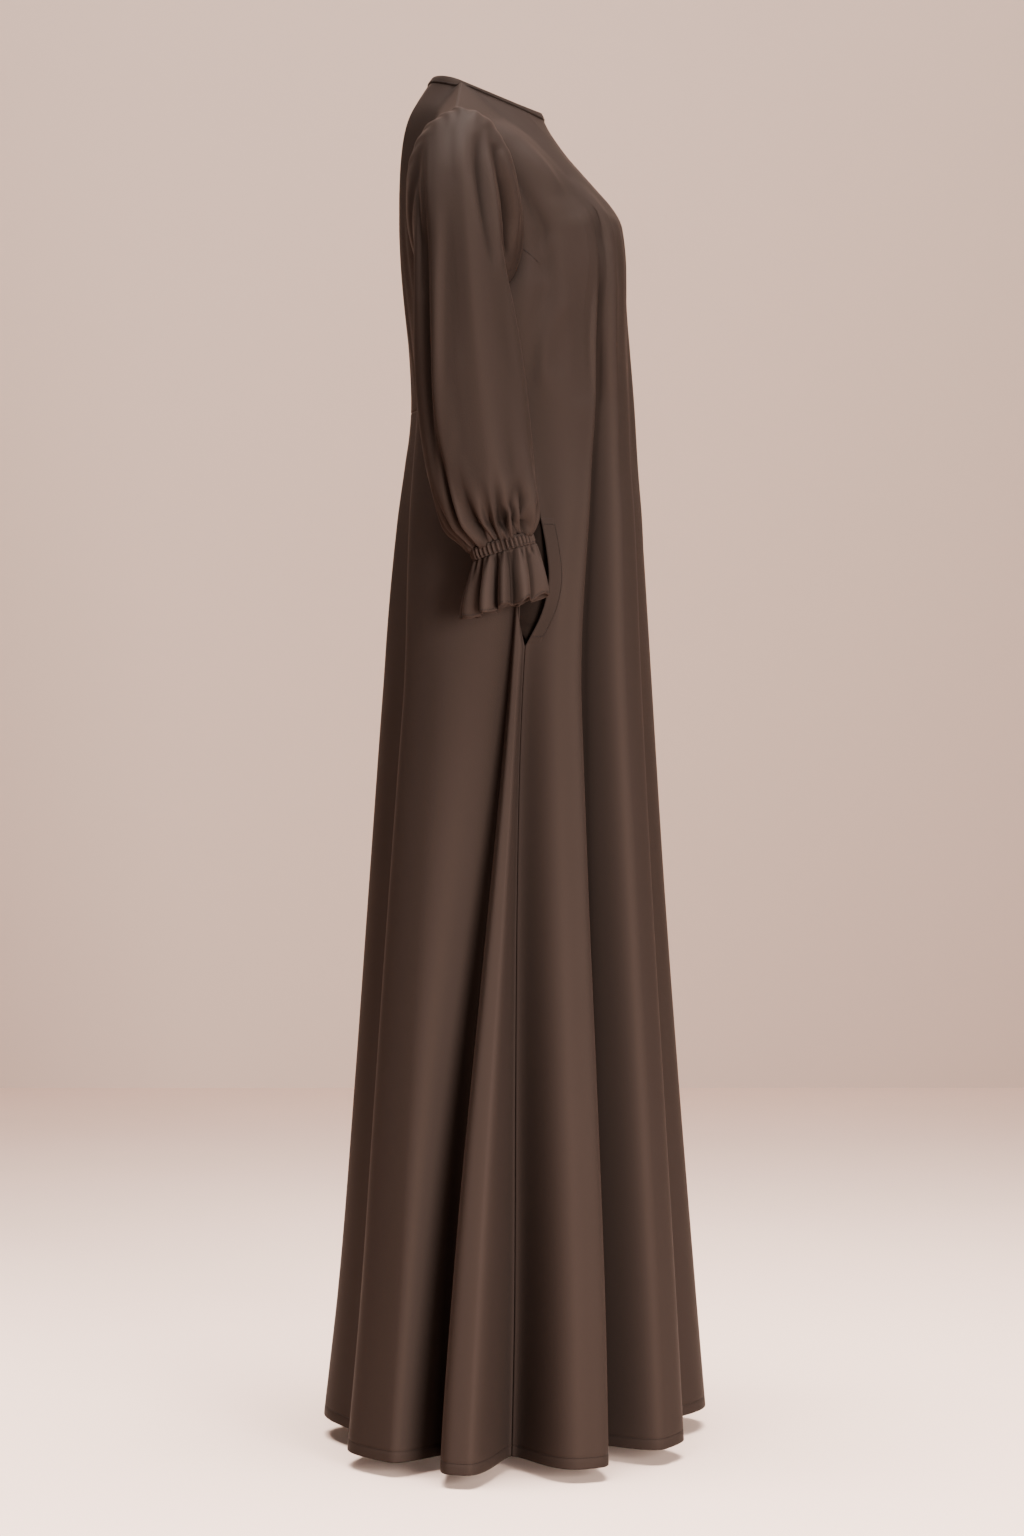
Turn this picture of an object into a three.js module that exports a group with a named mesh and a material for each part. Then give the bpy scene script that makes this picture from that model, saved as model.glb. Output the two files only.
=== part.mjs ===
// A long closed abaya in plain crepe, in the form that it has when it is worn.
// Millimetres, +Z up. The front faces -Y and the wearer's right side is -X. The origin is in the
// middle plane, level with the middle of the shoulder seams.
import * as THREE from 'three';

// Driving sizes
const CLOTH = 1.5;
const THIN_CLOTH = 1.1;
const SEAM_GAP = 0.3;
const UNDERARM_Z = -215;
const WAIST_Z = -326;
const HEM_Z = -1416;
const HEM_RISE = 9;
const NECK_BINDING_WIDTH = 8;
const BINDING_GAP = 0.6;
const SHOULDER_TURN = 0.5;
const WELT_WIDTH = 14;
const CASING_RIBS = 36;
const CASING_RIB_DEPTH = 0.9;
const FRILL_WAVES = 10;
const COLUMN_DEGREES = 9;
const LEAST_COLUMNS = 3;
const UPPER_ROWS = 7;
const SHOULDER_COLUMNS = 7;
const SLEEVE_COLUMNS_PER_STEP = 3;

const CREPE = { color: 0x4f3f37, roughness: 0.72, metalness: 0 };

// Neckline and shoulder, on the wearer's right: the left is its mirror image.
const NECK_FRONT = new THREE.Vector3(0, -90.5, 2);
const NECK_SIDE = new THREE.Vector3(-78, -4, 25);
const NECK_BACK = new THREE.Vector3(0, 28.5, 37);
const SHOULDER_TIP = new THREE.Vector3(-200, 0, -26);

// The middle of the front and of the back, from the neckline to the underarm's height.
const CENTRE_FRONT = [
  { y: -90.5, z: 2 }, { y: -99.7, z: -19 }, { y: -117, z: -47 }, { y: -134, z: -67 },
  { y: -151, z: -86 }, { y: -165, z: -102 }, { y: -174, z: -118 }, { y: -178, z: -142 },
  { y: -181, z: -175 }, { y: -184, z: UNDERARM_Z },
];
const CENTRE_BACK = [
  { y: 28.5, z: 37 }, { y: 39.3, z: 18 }, { y: 48, z: 2 }, { y: 54, z: -15 },
  { y: 59, z: -45 }, { y: 61.5, z: -95 }, { y: 60.5, z: -139 }, { y: 57.5, z: UNDERARM_Z },
];

// The armhole between the shoulder tip and the underarm, on the right.
const ARMHOLE_FRONT = [
  { x: -195, y: -20, z: -29 }, { x: -188, y: -39, z: -44 }, { x: -182, y: -51, z: -70 },
  { x: -176, y: -61, z: -100 }, { x: -173, y: -68, z: -138 }, { x: -176, y: -66, z: -176 },
  { x: -184, y: -52, z: -204 },
];
const ARMHOLE_BACK = [
  { x: -196, y: 18, z: -33 }, { x: -190, y: 33, z: -50 }, { x: -184, y: 45, z: -74 },
  { x: -180, y: 48.5, z: -105 }, { x: -179, y: 47.5, z: -140 }, { x: -182, y: 40, z: -175 },
  { x: -187, y: 16, z: -204 },
];

// Level sections from the underarm to the hem: how far the plain oval reaches to the front, to the
// back and to each side.
const SECTIONS = [
  { z: UNDERARM_Z, front: -184, back: 57.5, half: 194 },
  { z: -265, front: -187.5, back: 53, half: 192 },
  { z: WAIST_Z, front: -191.5, back: 51.2, half: 190 },
  { z: -386, front: -195, back: 57.5, half: 194 },
  { z: -447, front: -200.5, back: 65, half: 203 },
  { z: -585, front: -209.5, back: 78, half: 221 },
  { z: -833, front: -225, back: 96, half: 256 },
  { z: -1058, front: -241.5, back: 112, half: 287 },
  { z: -1261, front: -258, back: 128, half: 310 },
  { z: HEM_Z, front: -271, back: 145, half: 325 },
];
const OVAL_POWER = 2.3;

// The rows of the panels below the underarm.
const LEVELS = [UNDERARM_Z, -268, WAIST_Z, -386, -447, -482, -516, -550, -585, -635, -690, -760,
  -840, -930, -1030, -1140, -1265, HEM_Z];

// Where the right side seam lies, in degrees round from the front.
const SIDE_SEAM = [
  { z: UNDERARM_Z, angle: 101 }, { z: WAIST_Z, angle: 92.5 }, { z: -447, angle: 84.5 },
  { z: -585, angle: 88.3 }, { z: -800, angle: 90 }, { z: HEM_Z, angle: 91 },
];

// The folds, in order round the panel, in turn a ridge and a trough. `top` and `low` are degrees
// round from the front to the wearer's right, at the underarm and at the hem; the other columns are
// how far it stands out (+) or in (-) from the oval at that height. A seam lies in a trough.
const FRONT_FOLDS = [
  { seam: -1, bust: 0, waist: -3, hip: -2, hem: -58 },
  { top: -67, low: -79, bust: 1, waist: 4, hip: 9, hem: 30 },
  { top: -60, low: -69, bust: -3, waist: -9, hip: -22, hem: -72 },
  { top: -50, low: -55, bust: 2, waist: 3, hip: 6, hem: 10 },
  { top: -30, low: -37, bust: -1, waist: -5, hip: -12, hem: -50 },
  { top: 0, low: -8, bust: 0, waist: 0, hip: 0, hem: 0 },
  { top: 30, low: 38, bust: -1, waist: -6, hip: -14, hem: -56 },
  { top: 50, low: 56, bust: 2, waist: 4, hip: 7, hem: -2 },
  { top: 60, low: 69.4, bust: -4, waist: -10, hip: -25, hem: -80 },
  { top: 67, low: 79, bust: 1, waist: 4, hip: 9, hem: 27 },
  { seam: 1, bust: 0, waist: -3, hip: -2, hem: -60 },
];
const BACK_FOLDS = [
  { seam: 1, bust: 0, waist: -3, hip: -2, hem: -60 },
  { top: 112, low: 97.5, bust: 0, waist: 1, hip: 3, hem: 57 },
  { top: 122, low: 105, bust: 0, waist: -3, hip: -8, hem: -50 },
  { top: 134, low: 113, bust: 0, waist: 2, hip: 11, hem: 27 },
  { top: 152, low: 134, bust: 0, waist: -5, hip: -14, hem: -28 },
  { top: 180, low: 171, bust: 0, waist: 0, hip: 0, hem: 0 },
  { top: 192, low: 193, bust: 0, waist: -4, hip: -10, hem: -30 },
  { top: 205, low: 211, bust: 0, waist: 1, hip: 4, hem: 7 },
  { top: 217, low: 227, bust: 0, waist: -4, hip: -13, hem: -38 },
  { top: 229, low: 241, bust: 0, waist: 2, hip: 10, hem: 28 },
  { top: 240, low: 252, bust: 0, waist: -4, hip: -9, hem: -48 },
  { top: 249, low: 261, bust: 0, waist: 1, hip: 4, hem: 50 },
  { seam: -1, bust: 0, waist: -3, hip: -2, hem: -58 },
];
const FOLD_LEVELS = [
  { z: UNDERARM_Z, level: 'bust' }, { z: WAIST_Z, level: 'waist' },
  { z: -585, level: 'hip' }, { z: HEM_Z, level: 'hem' },
];
const FOLDS_SETTLE_Z = -650;

// Fullness over the bust, and flatness over the shoulder blades, on each side: its place, its reach
// and how far it stands out.
const BUST = { x: 88, z: -142, wide: 62, tall: 62, out: 7 };
const SHOULDER_BLADE = { x: 100, z: -150, wide: 80, tall: 110, out: -8 };
const FRONT_NECK_DIP = 5.5;

// The pocket's mouth in the side seam: the y of its front and back edge, on the right.
const MOUTH = [
  { z: -447, front: -88, back: -88 }, { z: -482, front: -94, back: -76 },
  { z: -516, front: -96.5, back: -68 }, { z: -550, front: -89.5, back: -65.5 },
  { z: -585, front: -72.4, back: -72.4 },
];
const MOUTH_GAPE = 4;
const BAG_LOWEST_Z = -690;
const BAG_COLUMNS = 9;
const BAG_HOLLOW = 13;
const BAG_RIM = 5;

// Sections of the right sleeve, from the armhole to the wrist casing. `out` and `in` are the points
// furthest from and nearest to the body; `lean` is how much higher the front of a section is.
const SLEEVE = [
  { outX: -226, outZ: -34, inX: -202, inZ: -224, back: 47, front: -62, lean: 0 },
  { outX: -254, outZ: -56, inX: -208, inZ: -235, back: 44, front: -52, lean: 0 },
  { outX: -280, outZ: -92, inX: -212, inZ: -248, back: 42, front: -47, lean: 0 },
  { outX: -298, outZ: -142, inX: -214, inZ: -265, back: 41.5, front: -52, lean: 0 },
  { outX: -308, outZ: -205, inX: -215, inZ: -290, back: 41, front: -61, lean: 0 },
  { outX: -314, outZ: -272, inX: -215, inZ: -326, back: 39.5, front: -69, lean: 0 },
  { outX: -319, outZ: -340, inX: -216, inZ: -370, back: 34.5, front: -75.5, lean: 3 },
  { outX: -323, outZ: -398, inX: -218, inZ: -412, back: 27, front: -81, lean: 6 },
  { outX: -326, outZ: -440, inX: -222, inZ: -444, back: 19, front: -87, lean: 10 },
  { outX: -322, outZ: -464, inX: -231, inZ: -466, back: 8, front: -88, lean: 14 },
];
const WRIST = { x: -277.5, y: -48, z: -480, half: 31.5, lean: 18 };
const CASING_LENGTH = 11;
const FRILL_LENGTH = 58;
const FRILL_HALF = 43;
const FRILL_DEPTH = 5.5;
const FRILL_ROOT_DEPTH = 0.8;
const FRILL_SWAY = 2;
const FRILL_FALLS_BACK = 15;
const FRILL_COLUMNS_PER_WAVE = 4;

// Long soft folds of the sleeve: degrees round from its outside towards the front, and how far each
// stands out at the head, at the elbow and at the wrist.
const SLEEVE_FOLDS = [
  { at: -72, head: 0, elbow: 1, wrist: 2 },
  { at: -54, head: 0, elbow: -4, wrist: -3 },
  { at: -37, head: 1, elbow: 4, wrist: 3 },
  { at: -14, head: -2, elbow: -4, wrist: -2 },
  { at: 14, head: 2, elbow: 1, wrist: 3 },
  { at: 36, head: -2, elbow: -3, wrist: -3 },
  { at: 60, head: 2, elbow: 3, wrist: 4 },
  { at: 88, head: 0, elbow: 0, wrist: -1 },
  { at: 130, head: 0, elbow: -4, wrist: 3 },
  { at: 175, head: 0, elbow: 2, wrist: -3 },
  { at: 225, head: 0, elbow: -3, wrist: 2 },
];
const GATHER_DEPTH = 1.7;
const GATHERS_START = 0.75;
const HEAD_GATHER_DEPTH = 1.5;
const HEAD_GATHERS_END = 0.25;

const radians = THREE.MathUtils.degToRad;
const mix = THREE.MathUtils.lerp;
const vector = (x, y, z) => new THREE.Vector3(x, y, z);
const mirrored = (point) => vector(-point.x, point.y, point.z);

// A smooth value between the rows of a table that is in order of its key.
function between(table, key, column, at) {
  const rows = table[0][key] < table.at(-1)[key] ? table : [...table].reverse();
  const last = rows.length - 1;
  const here = THREE.MathUtils.clamp(at, rows[0][key], rows[last][key]);
  const i = Math.min(rows.findLastIndex((row) => row[key] <= here), last - 1);
  const slope = (n) => {
    const before = rows[Math.max(n - 1, 0)];
    const after = rows[Math.min(n + 1, last)];
    return (after[column] - before[column]) / (after[key] - before[key]);
  };
  const step = rows[i + 1][key] - rows[i][key];
  const t = (here - rows[i][key]) / step;
  const rise = t * t * (3 - 2 * t);
  return mix(rows[i][column], rows[i + 1][column], rise)
    + step * slope(i) * t * (1 - t) ** 2 - step * slope(i + 1) * t * t * (1 - t);
}

const halfWave = (t) => (1 - Math.cos(Math.PI * t)) / 2;

// Body panels below the underarm
function foldAngle(fold, z) {
  if (fold.seam) return fold.seam * between(SIDE_SEAM, 'z', 'angle', z);
  return mix(fold.top, fold.low, THREE.MathUtils.smoothstep(-z, -UNDERARM_Z, -FOLDS_SETTLE_Z));
}

function foldDepth(fold, z) {
  const levels = FOLD_LEVELS.map((row) => ({ z: row.z, depth: fold[row.level] }));
  return between(levels, 'z', 'depth', z);
}

const centreY = (z) => (between(SECTIONS, 'z', 'front', z) + between(SECTIONS, 'z', 'back', z)) / 2;

function bodyPoint(angle, z, depth) {
  const front = between(SECTIONS, 'z', 'front', z);
  const back = between(SECTIONS, 'z', 'back', z);
  const half = between(SECTIONS, 'z', 'half', z);
  const sine = Math.sin(radians(angle));
  const cosine = Math.cos(radians(angle));
  const across = Math.abs(sine / half) ** OVAL_POWER;
  const along = Math.abs(cosine / ((back - front) / 2)) ** OVAL_POWER;
  const radius = (across + along) ** (-1 / OVAL_POWER) + depth;
  const hem = HEM_Z + HEM_RISE * cosine ** 2;
  const level = UNDERARM_Z + (z - UNDERARM_Z) * (hem - UNDERARM_Z) / (HEM_Z - UNDERARM_Z);
  return vector(-radius * sine, (front + back) / 2 - radius * cosine, level);
}

// The angle at which the section at a height has a given y, on the side of a seam.
function angleOfY(y, z, side) {
  const half = between(SECTIONS, 'z', 'half', z);
  return side * THREE.MathUtils.radToDeg(Math.acos((centreY(z) - y) / half));
}

// How far open the mouth is at a height, from 0 at its ends to 1 in the middle.
function mouthShare(z) {
  return Math.sin(Math.PI * (z - MOUTH[0].z) / (MOUTH.at(-1).z - MOUTH[0].z));
}

// The columns of a panel: a few from each fold to the next one, by how far apart they are at the hem.
function columnsOf(folds) {
  const places = folds.map(({ seam, low }) => (seam ? seam * SIDE_SEAM.at(-1).angle : low));
  if (folds === BACK_FOLDS) places[places.length - 1] += 360;
  const columns = [];
  for (let i = 0; i < folds.length - 1; i += 1) {
    const degrees = places[i + 1] - places[i];
    const count = Math.max(LEAST_COLUMNS, Math.round(degrees / COLUMN_DEGREES));
    for (let n = 0; n < count; n += 1) columns.push({ fold: i, part: n / count });
  }
  columns.push({ fold: folds.length - 2, part: 1 });
  return columns;
}

// One level row of a panel. The columns beside the side seams stay a welt's width from them, and in
// the pocket's mouth the edge leaves the seam.
function levelRow(folds, columns, z) {
  const isFront = folds === FRONT_FOLDS;
  const angles = folds.map((fold) => foldAngle(fold, z));
  if (!isFront) angles[angles.length - 1] += 360;
  const depths = folds.map((fold) => foldDepth(fold, z));
  const mouth = MOUTH.find((row) => row.z === z);
  if (mouth) {
    const y = isFront ? mouth.front : mouth.back;
    const right = angleOfY(y, z, 1);
    angles[isFront ? angles.length - 1 : 0] = right;
    angles[isFront ? 0 : angles.length - 1] = isFront ? -right : 360 - right;
  }
  const weltAngle = THREE.MathUtils.radToDeg(WELT_WIDTH / between(SECTIONS, 'z', 'half', z));
  const last = columns.length - 1;
  const lastFold = folds.length - 2;
  const lastPart = columns[last - 1].part;
  const firstPart = columns[1].part;
  return columns.map(({ fold, part }, n) => {
    let angle = mix(angles[fold], angles[fold + 1], part);
    if (fold === lastFold && n < last) {
      angle = mix(angles[fold], angles[fold + 1] - weltAngle, part / lastPart);
    }
    if (fold === 0 && n > 0) {
      angle = mix(angles[0] + weltAngle, angles[1], (part - firstPart) / (1 - firstPart));
    }
    const bend = (angle - angles[fold]) / (angles[fold + 1] - angles[fold]);
    const depth = mix(depths[fold], depths[fold + 1], halfWave(bend));
    const isEdge = n === 0 || n === last;
    const gape = mouth && isFront && isEdge ? MOUTH_GAPE * mouthShare(mouth.z) : 0;
    return bodyPoint(angle, z, depth + gape);
  });
}

// Upper body: each half is stretched between the middle line, the neckline and shoulder seam, the
// armhole and the row at the underarm.
function curveOf(points) {
  return new THREE.CatmullRomCurve3(points, false, 'centripetal');
}

function neckline(middle, count) {
  const points = [];
  for (let n = 0; n <= count; n += 1) {
    const turn = (n / count) * Math.PI / 2;
    const y = mix(NECK_SIDE.y, middle.y, Math.cos(turn));
    const dip = middle === NECK_FRONT ? FRONT_NECK_DIP * Math.sin(2 * turn) : 0;
    const z = mix(NECK_SIDE.z, middle.z, Math.cos(turn)) - dip;
    points.push(vector(NECK_SIDE.x * Math.sin(turn), y, z));
  }
  return points;
}

function upperHalf(middle, centreLine, armhole, bottom) {
  const last = bottom.length - 1;
  const neckColumns = last - SHOULDER_COLUMNS;
  const top = neckline(middle, neckColumns);
  for (let n = 1; n <= SHOULDER_COLUMNS; n += 1) {
    top.push(NECK_SIDE.clone().lerp(SHOULDER_TIP, n / SHOULDER_COLUMNS));
  }
  const centre = curveOf(centreLine.map(({ y, z }) => vector(0, y, z))).getSpacedPoints(UPPER_ROWS);
  const side = [SHOULDER_TIP, ...armhole.map(({ x, y, z }) => vector(x, y, z)), bottom[last]];
  const edge = curveOf(side).getSpacedPoints(UPPER_ROWS);
  const rows = [];
  for (let j = 0; j < UPPER_ROWS; j += 1) {
    const t = j / UPPER_ROWS;
    rows.push(top.map((topPoint, n) => {
      const s = n / last;
      const point = topPoint.clone().multiplyScalar(1 - t).addScaledVector(bottom[n], t)
        .addScaledVector(centre[j], 1 - s).addScaledVector(edge[j], s)
        .addScaledVector(top[0], -(1 - s) * (1 - t)).addScaledVector(top[last], -s * (1 - t))
        .addScaledVector(bottom[0], -(1 - s) * t).addScaledVector(bottom[last], -s * t);
      if (n > 0 && n < last && j > 0) {
        const isFront = middle === NECK_FRONT;
        const { x, z, wide, tall, out } = isFront ? BUST : SHOULDER_BLADE;
        const off = ((point.x + x) / wide) ** 2 + ((point.z - z) / tall) ** 2;
        point.y += (isFront ? -out : out) * Math.exp(-off) * Math.sin(Math.PI * t) ** 0.5;
      }
      return point;
    }));
  }
  return rows;
}

// A panel from the neckline to the hem, as rows of points from one side seam to the other.
function panelRows(folds, middle, centreLine, armhole) {
  const columns = columnsOf(folds);
  const lower = LEVELS.map((z) => levelRow(folds, columns, z));
  const middleAngle = middle === NECK_FRONT ? 0 : 180;
  const middleFold = folds.findIndex((fold) => fold.top === middleAngle);
  const middleColumn = columns.findIndex(({ fold, part }) => fold === middleFold && part === 0);
  const first = lower[0].slice(0, middleColumn + 1).reverse();
  const second = lower[0].slice(middleColumn);
  const firstIsRight = first.at(-1).x < 0;
  const half = (bottom, isRight) => {
    if (isRight) return upperHalf(middle, centreLine, armhole, bottom);
    const rows = upperHalf(middle, centreLine, armhole, bottom.map(mirrored));
    return rows.map((row) => row.map(mirrored));
  };
  const firstRows = half(first, firstIsRight);
  const secondRows = half(second, !firstIsRight);
  const upper = firstRows.map((row, j) => [...row.reverse(), ...secondRows[j].slice(1)]);
  return [...upper, ...lower];
}

// Cloth walls. A sheet is a list of points with four-cornered faces.
function sheetOf(rows, isLoop = false) {
  const width = rows[0].length;
  const faces = [];
  for (let j = 0; j < rows.length - 1; j += 1) {
    for (let n = 0; n < (isLoop ? width : width - 1); n += 1) {
      const next = (n + 1) % width;
      faces.push([j * width + n, (j + 1) * width + n, (j + 1) * width + next, j * width + next]);
    }
  }
  return { points: rows.flat(), faces };
}

function faceNormal(sheet, face) {
  const [a, b, c, d] = face.map((n) => sheet.points[n]);
  return c.clone().sub(a).cross(d.clone().sub(b)).normalize();
}

// Turns a sheet so that its faces look away from a point inside it.
function facing(sheet, inside) {
  let outward = 0;
  for (const face of sheet.faces) {
    outward += faceNormal(sheet, face).dot(sheet.points[face[0]].clone().sub(inside).normalize());
  }
  if (outward < 0) for (const face of sheet.faces) face.reverse();
  return sheet;
}

const MITRE_LIMIT = 0.62;
const placeKey = ({ x, y, z }) => [x, y, z].map((value) => Math.round(value * 1000)).join(' ');

// Outward directions at the points of sheets that are sewn together: where sheets share a point they
// share its direction, so their walls meet in one plane. Its length makes up for the bend there.
function directionsOf(sheets) {
  const places = new Map();
  for (const sheet of sheets) {
    for (const face of sheet.faces) {
      const normal = faceNormal(sheet, face);
      for (const n of face) {
        const key = placeKey(sheet.points[n]);
        if (!places.has(key)) places.set(key, []);
        places.get(key).push(normal);
      }
    }
  }
  const direction = new Map();
  for (const [key, normals] of places) {
    const sum = normals.reduce((total, normal) => total.add(normal), vector(0, 0, 0)).normalize();
    const spread = normals.reduce((total, normal) => total + normal.dot(sum), 0) / normals.length;
    direction.set(key, sum.divideScalar(Math.max(spread, MITRE_LIMIT)));
  }
  return sheets.map((sheet) => sheet.points.map((point) => direction.get(placeKey(point)).clone()));
}

function boundaryEdges(sheet) {
  const edges = new Map();
  for (const face of sheet.faces) {
    face.forEach((from, n) => {
      const to = face[(n + 1) % face.length];
      const back = `${to} ${from}`;
      if (edges.has(back)) edges.delete(back);
      else edges.set(`${from} ${to}`, { from, to, face });
    });
  }
  return [...edges.values()];
}

// A closed wall on the inner side of a sheet. Its free edges draw back by half the gap of a seam.
function wall(sheet, directions, thickness, back = SEAM_GAP / 2) {
  const edges = boundaryEdges(sheet);
  const draw = sheet.points.map(() => vector(0, 0, 0));
  for (const { from, to, face } of edges) {
    const along = sheet.points[to].clone().sub(sheet.points[from]).normalize();
    const inward = faceNormal(sheet, face).cross(along).multiplyScalar(back);
    for (const n of [from, to]) {
      const isDrawn = draw[n].dot(inward) > 0.9 * back * back;
      if (!isDrawn) draw[n].add(inward);
    }
  }
  const outer = sheet.points.map((point, n) => point.clone().add(draw[n]));
  const inner = outer.map((point, n) => point.clone().addScaledVector(directions[n], -thickness));
  const count = outer.length;
  const triangles = [];
  for (const [a, b, c, d] of sheet.faces) {
    triangles.push([a, b, c], [a, c, d]);
    triangles.push([count + a, count + c, count + b], [count + a, count + d, count + c]);
  }
  for (const { from, to } of edges) {
    const isFalling = sheet.points[from].z > sheet.points[to].z;
    if (isFalling) triangles.push([from, count + from, count + to], [from, count + to, to]);
    else triangles.push([to, from, count + from], [to, count + from, count + to]);
  }
  return geometryOf([...outer, ...inner], triangles);
}

function geometryOf(points, triangles) {
  const geometry = new THREE.BufferGeometry();
  const positions = points.flatMap(({ x, y, z }) => [x, y, z]);
  geometry.setAttribute('position', new THREE.Float32BufferAttribute(positions, 3));
  geometry.setIndex(triangles.flat());
  geometry.computeVertexNormals();
  return geometry;
}

const abaya = new THREE.Group();

function addPiece(name, geometry, shade = 1) {
  const material = new THREE.MeshStandardMaterial(CREPE);
  material.color.multiplyScalar(shade);
  const mesh = new THREE.Mesh(geometry, material);
  mesh.name = name;
  abaya.add(mesh);
}

// Body
const frontRows = panelRows(FRONT_FOLDS, NECK_FRONT, CENTRE_FRONT, ARMHOLE_FRONT);
const backRows = panelRows(BACK_FOLDS, NECK_BACK, CENTRE_BACK, ARMHOLE_BACK);
const waistRow = UPPER_ROWS + LEVELS.indexOf(WAIST_Z);
const insideBody = vector(0, -60, -400);
const frontSheet = facing(sheetOf(frontRows), insideBody);
const bodiceSheet = facing(sheetOf(backRows.slice(0, waistRow + 1)), insideBody);
const skirtSheet = facing(sheetOf(backRows.slice(waistRow)), vector(0, -60, -800));

// Sleeves. The first ring is the armhole, with whole columns at the points of the panels' edges.
function armholeRing() {
  const down = frontRows.slice(0, UPPER_ROWS + 1).map((row) => row.at(-1));
  const up = backRows.slice(0, UPPER_ROWS).map((row) => row[0]).reverse();
  const corners = [...down, ...up];
  return corners.flatMap((corner, n) => {
    const next = corners[(n + 1) % corners.length];
    const steps = Array.from({ length: SLEEVE_COLUMNS_PER_STEP }, (_, k) => k);
    return steps.map((k) => corner.clone().lerp(next, k / SLEEVE_COLUMNS_PER_STEP));
  });
}

function sleeveFold(angle, share) {
  const folds = [...SLEEVE_FOLDS, { ...SLEEVE_FOLDS[0], at: SLEEVE_FOLDS[0].at + 360 }];
  const turned = angle < folds[0].at ? angle + 360 : angle > folds.at(-1).at ? angle - 360 : angle;
  const i = Math.min(folds.findLastIndex((fold) => fold.at <= turned), folds.length - 2);
  const reach = (fold) => (share < 0.5 ? mix(fold.head, fold.elbow, halfWave(share * 2))
    : mix(fold.elbow, fold.wrist, halfWave(share * 2 - 1)));
  const part = (turned - folds[i].at) / (folds[i + 1].at - folds[i].at);
  return mix(reach(folds[i]), reach(folds[i + 1]), halfWave(part));
}

function sleeveRing(section, columns, share) {
  const outPoint = vector(section.outX, 0, section.outZ);
  const inPoint = vector(section.inX, 0, section.inZ);
  const middle = outPoint.clone().add(inPoint).multiplyScalar(0.5);
  const across = outPoint.clone().sub(inPoint).multiplyScalar(0.5);
  middle.y = (section.back + section.front) / 2;
  const along = vector(0, (section.front - section.back) / 2, section.lean / 2);
  const wristShare = Math.max(0, (share - GATHERS_START) / (1 - GATHERS_START));
  const headShare = Math.max(0, 1 - share / HEAD_GATHERS_END);
  return Array.from({ length: columns }, (_, n) => {
    const turn = 2 * Math.PI * n / columns;
    const radial = across.clone().multiplyScalar(Math.cos(turn))
      .addScaledVector(along, Math.sin(turn));
    const nearTop = Math.max(0, Math.cos(turn)) ** 2;
    const gather = GATHER_DEPTH * wristShare ** 2 + HEAD_GATHER_DEPTH * nearTop * headShare;
    const reach = sleeveFold(360 * n / columns, share) + (n % 2 ? -gather : gather);
    return middle.clone().add(radial).addScaledVector(radial.clone().normalize(), reach);
  });
}

const wristSection = {
  outX: WRIST.x - WRIST.half, outZ: WRIST.z, inX: WRIST.x + WRIST.half, inZ: WRIST.z,
  back: WRIST.y + WRIST.half, front: WRIST.y - WRIST.half, lean: WRIST.lean,
};
const wristAxis = vector(0, WRIST.half * 2, -WRIST.lean).cross(vector(1, 0, 0)).normalize();
if (wristAxis.z > 0) wristAxis.negate();

const ringCentre = (ring) => ring.reduce((sum, point) => sum.add(point), vector(0, 0, 0))
  .divideScalar(ring.length);

// Takes the part along an axis out of the directions of a ring, so that its edge is flat.
function flattenEnd(directions, from, to, axis) {
  for (let n = from; n < to; n += 1) {
    const flat = directions[n].clone().addScaledVector(axis, -directions[n].dot(axis));
    directions[n] = flat.normalize();
  }
}

const head = armholeRing();
const sleeveRings = SLEEVE.map((section, j) => sleeveRing(section, head.length, (j + 1) / SLEEVE.length));
const lastRing = sleeveRing(wristSection, head.length, 1);
const sleeveSheet = facing(sheetOf([head, ...sleeveRings, lastRing], true), vector(-262, -15, -280));

const mirroredSheet = (sheet) => ({
  points: sheet.points.map(mirrored),
  faces: sheet.faces.map(([a, b, c, d]) => [a, d, c, b]),
});

// The panels and the right sleeve are sewn together; the left sleeve mirrors the right one.
const sewn = [frontSheet, bodiceSheet, skirtSheet, sleeveSheet, mirroredSheet(sleeveSheet)];
const [frontOut, bodiceOut, skirtOut, sleeveOut, leftSleeveOut] = directionsOf(sewn);
for (const directions of [sleeveOut, leftSleeveOut]) {
  for (let n = 0; n < head.length; n += 1) {
    const part = n % SLEEVE_COLUMNS_PER_STEP;
    const before = directions[n - part];
    const after = directions[(n - part + SLEEVE_COLUMNS_PER_STEP) % head.length];
    directions[n] = before.clone().lerp(after, part / SLEEVE_COLUMNS_PER_STEP);
  }
  const total = directions.length;
  flattenEnd(directions, total - head.length, total, wristAxis);
}
addPiece('front', wall(frontSheet, frontOut, CLOTH));
addPiece('back_bodice', wall(bodiceSheet, bodiceOut, CLOTH), 0.97);
addPiece('back_skirt', wall(skirtSheet, skirtOut, CLOTH), 0.94);
addPiece('sleeve_right', wall(sleeveSheet, sleeveOut, CLOTH, SEAM_GAP), 1.05);
addPiece('sleeve_left', wall(sewn[4], leftSleeveOut, CLOTH, SEAM_GAP), 1.05);

// Wrist casing and frill
function wristRing(distance, half, columns, reach, back = 0) {
  const middle = vector(WRIST.x, WRIST.y + back, WRIST.z).addScaledVector(wristAxis, distance);
  const slope = Math.hypot(WRIST.half * 2, WRIST.lean);
  const ahead = vector(0, -WRIST.half * 2, WRIST.lean).divideScalar(slope);
  return Array.from({ length: columns }, (_, n) => {
    const turn = 2 * Math.PI * n / columns;
    const radius = half + reach(n, turn);
    return middle.clone().add(vector(-radius * Math.cos(turn), 0, 0))
      .addScaledVector(ahead, radius * Math.sin(turn));
  });
}

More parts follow.
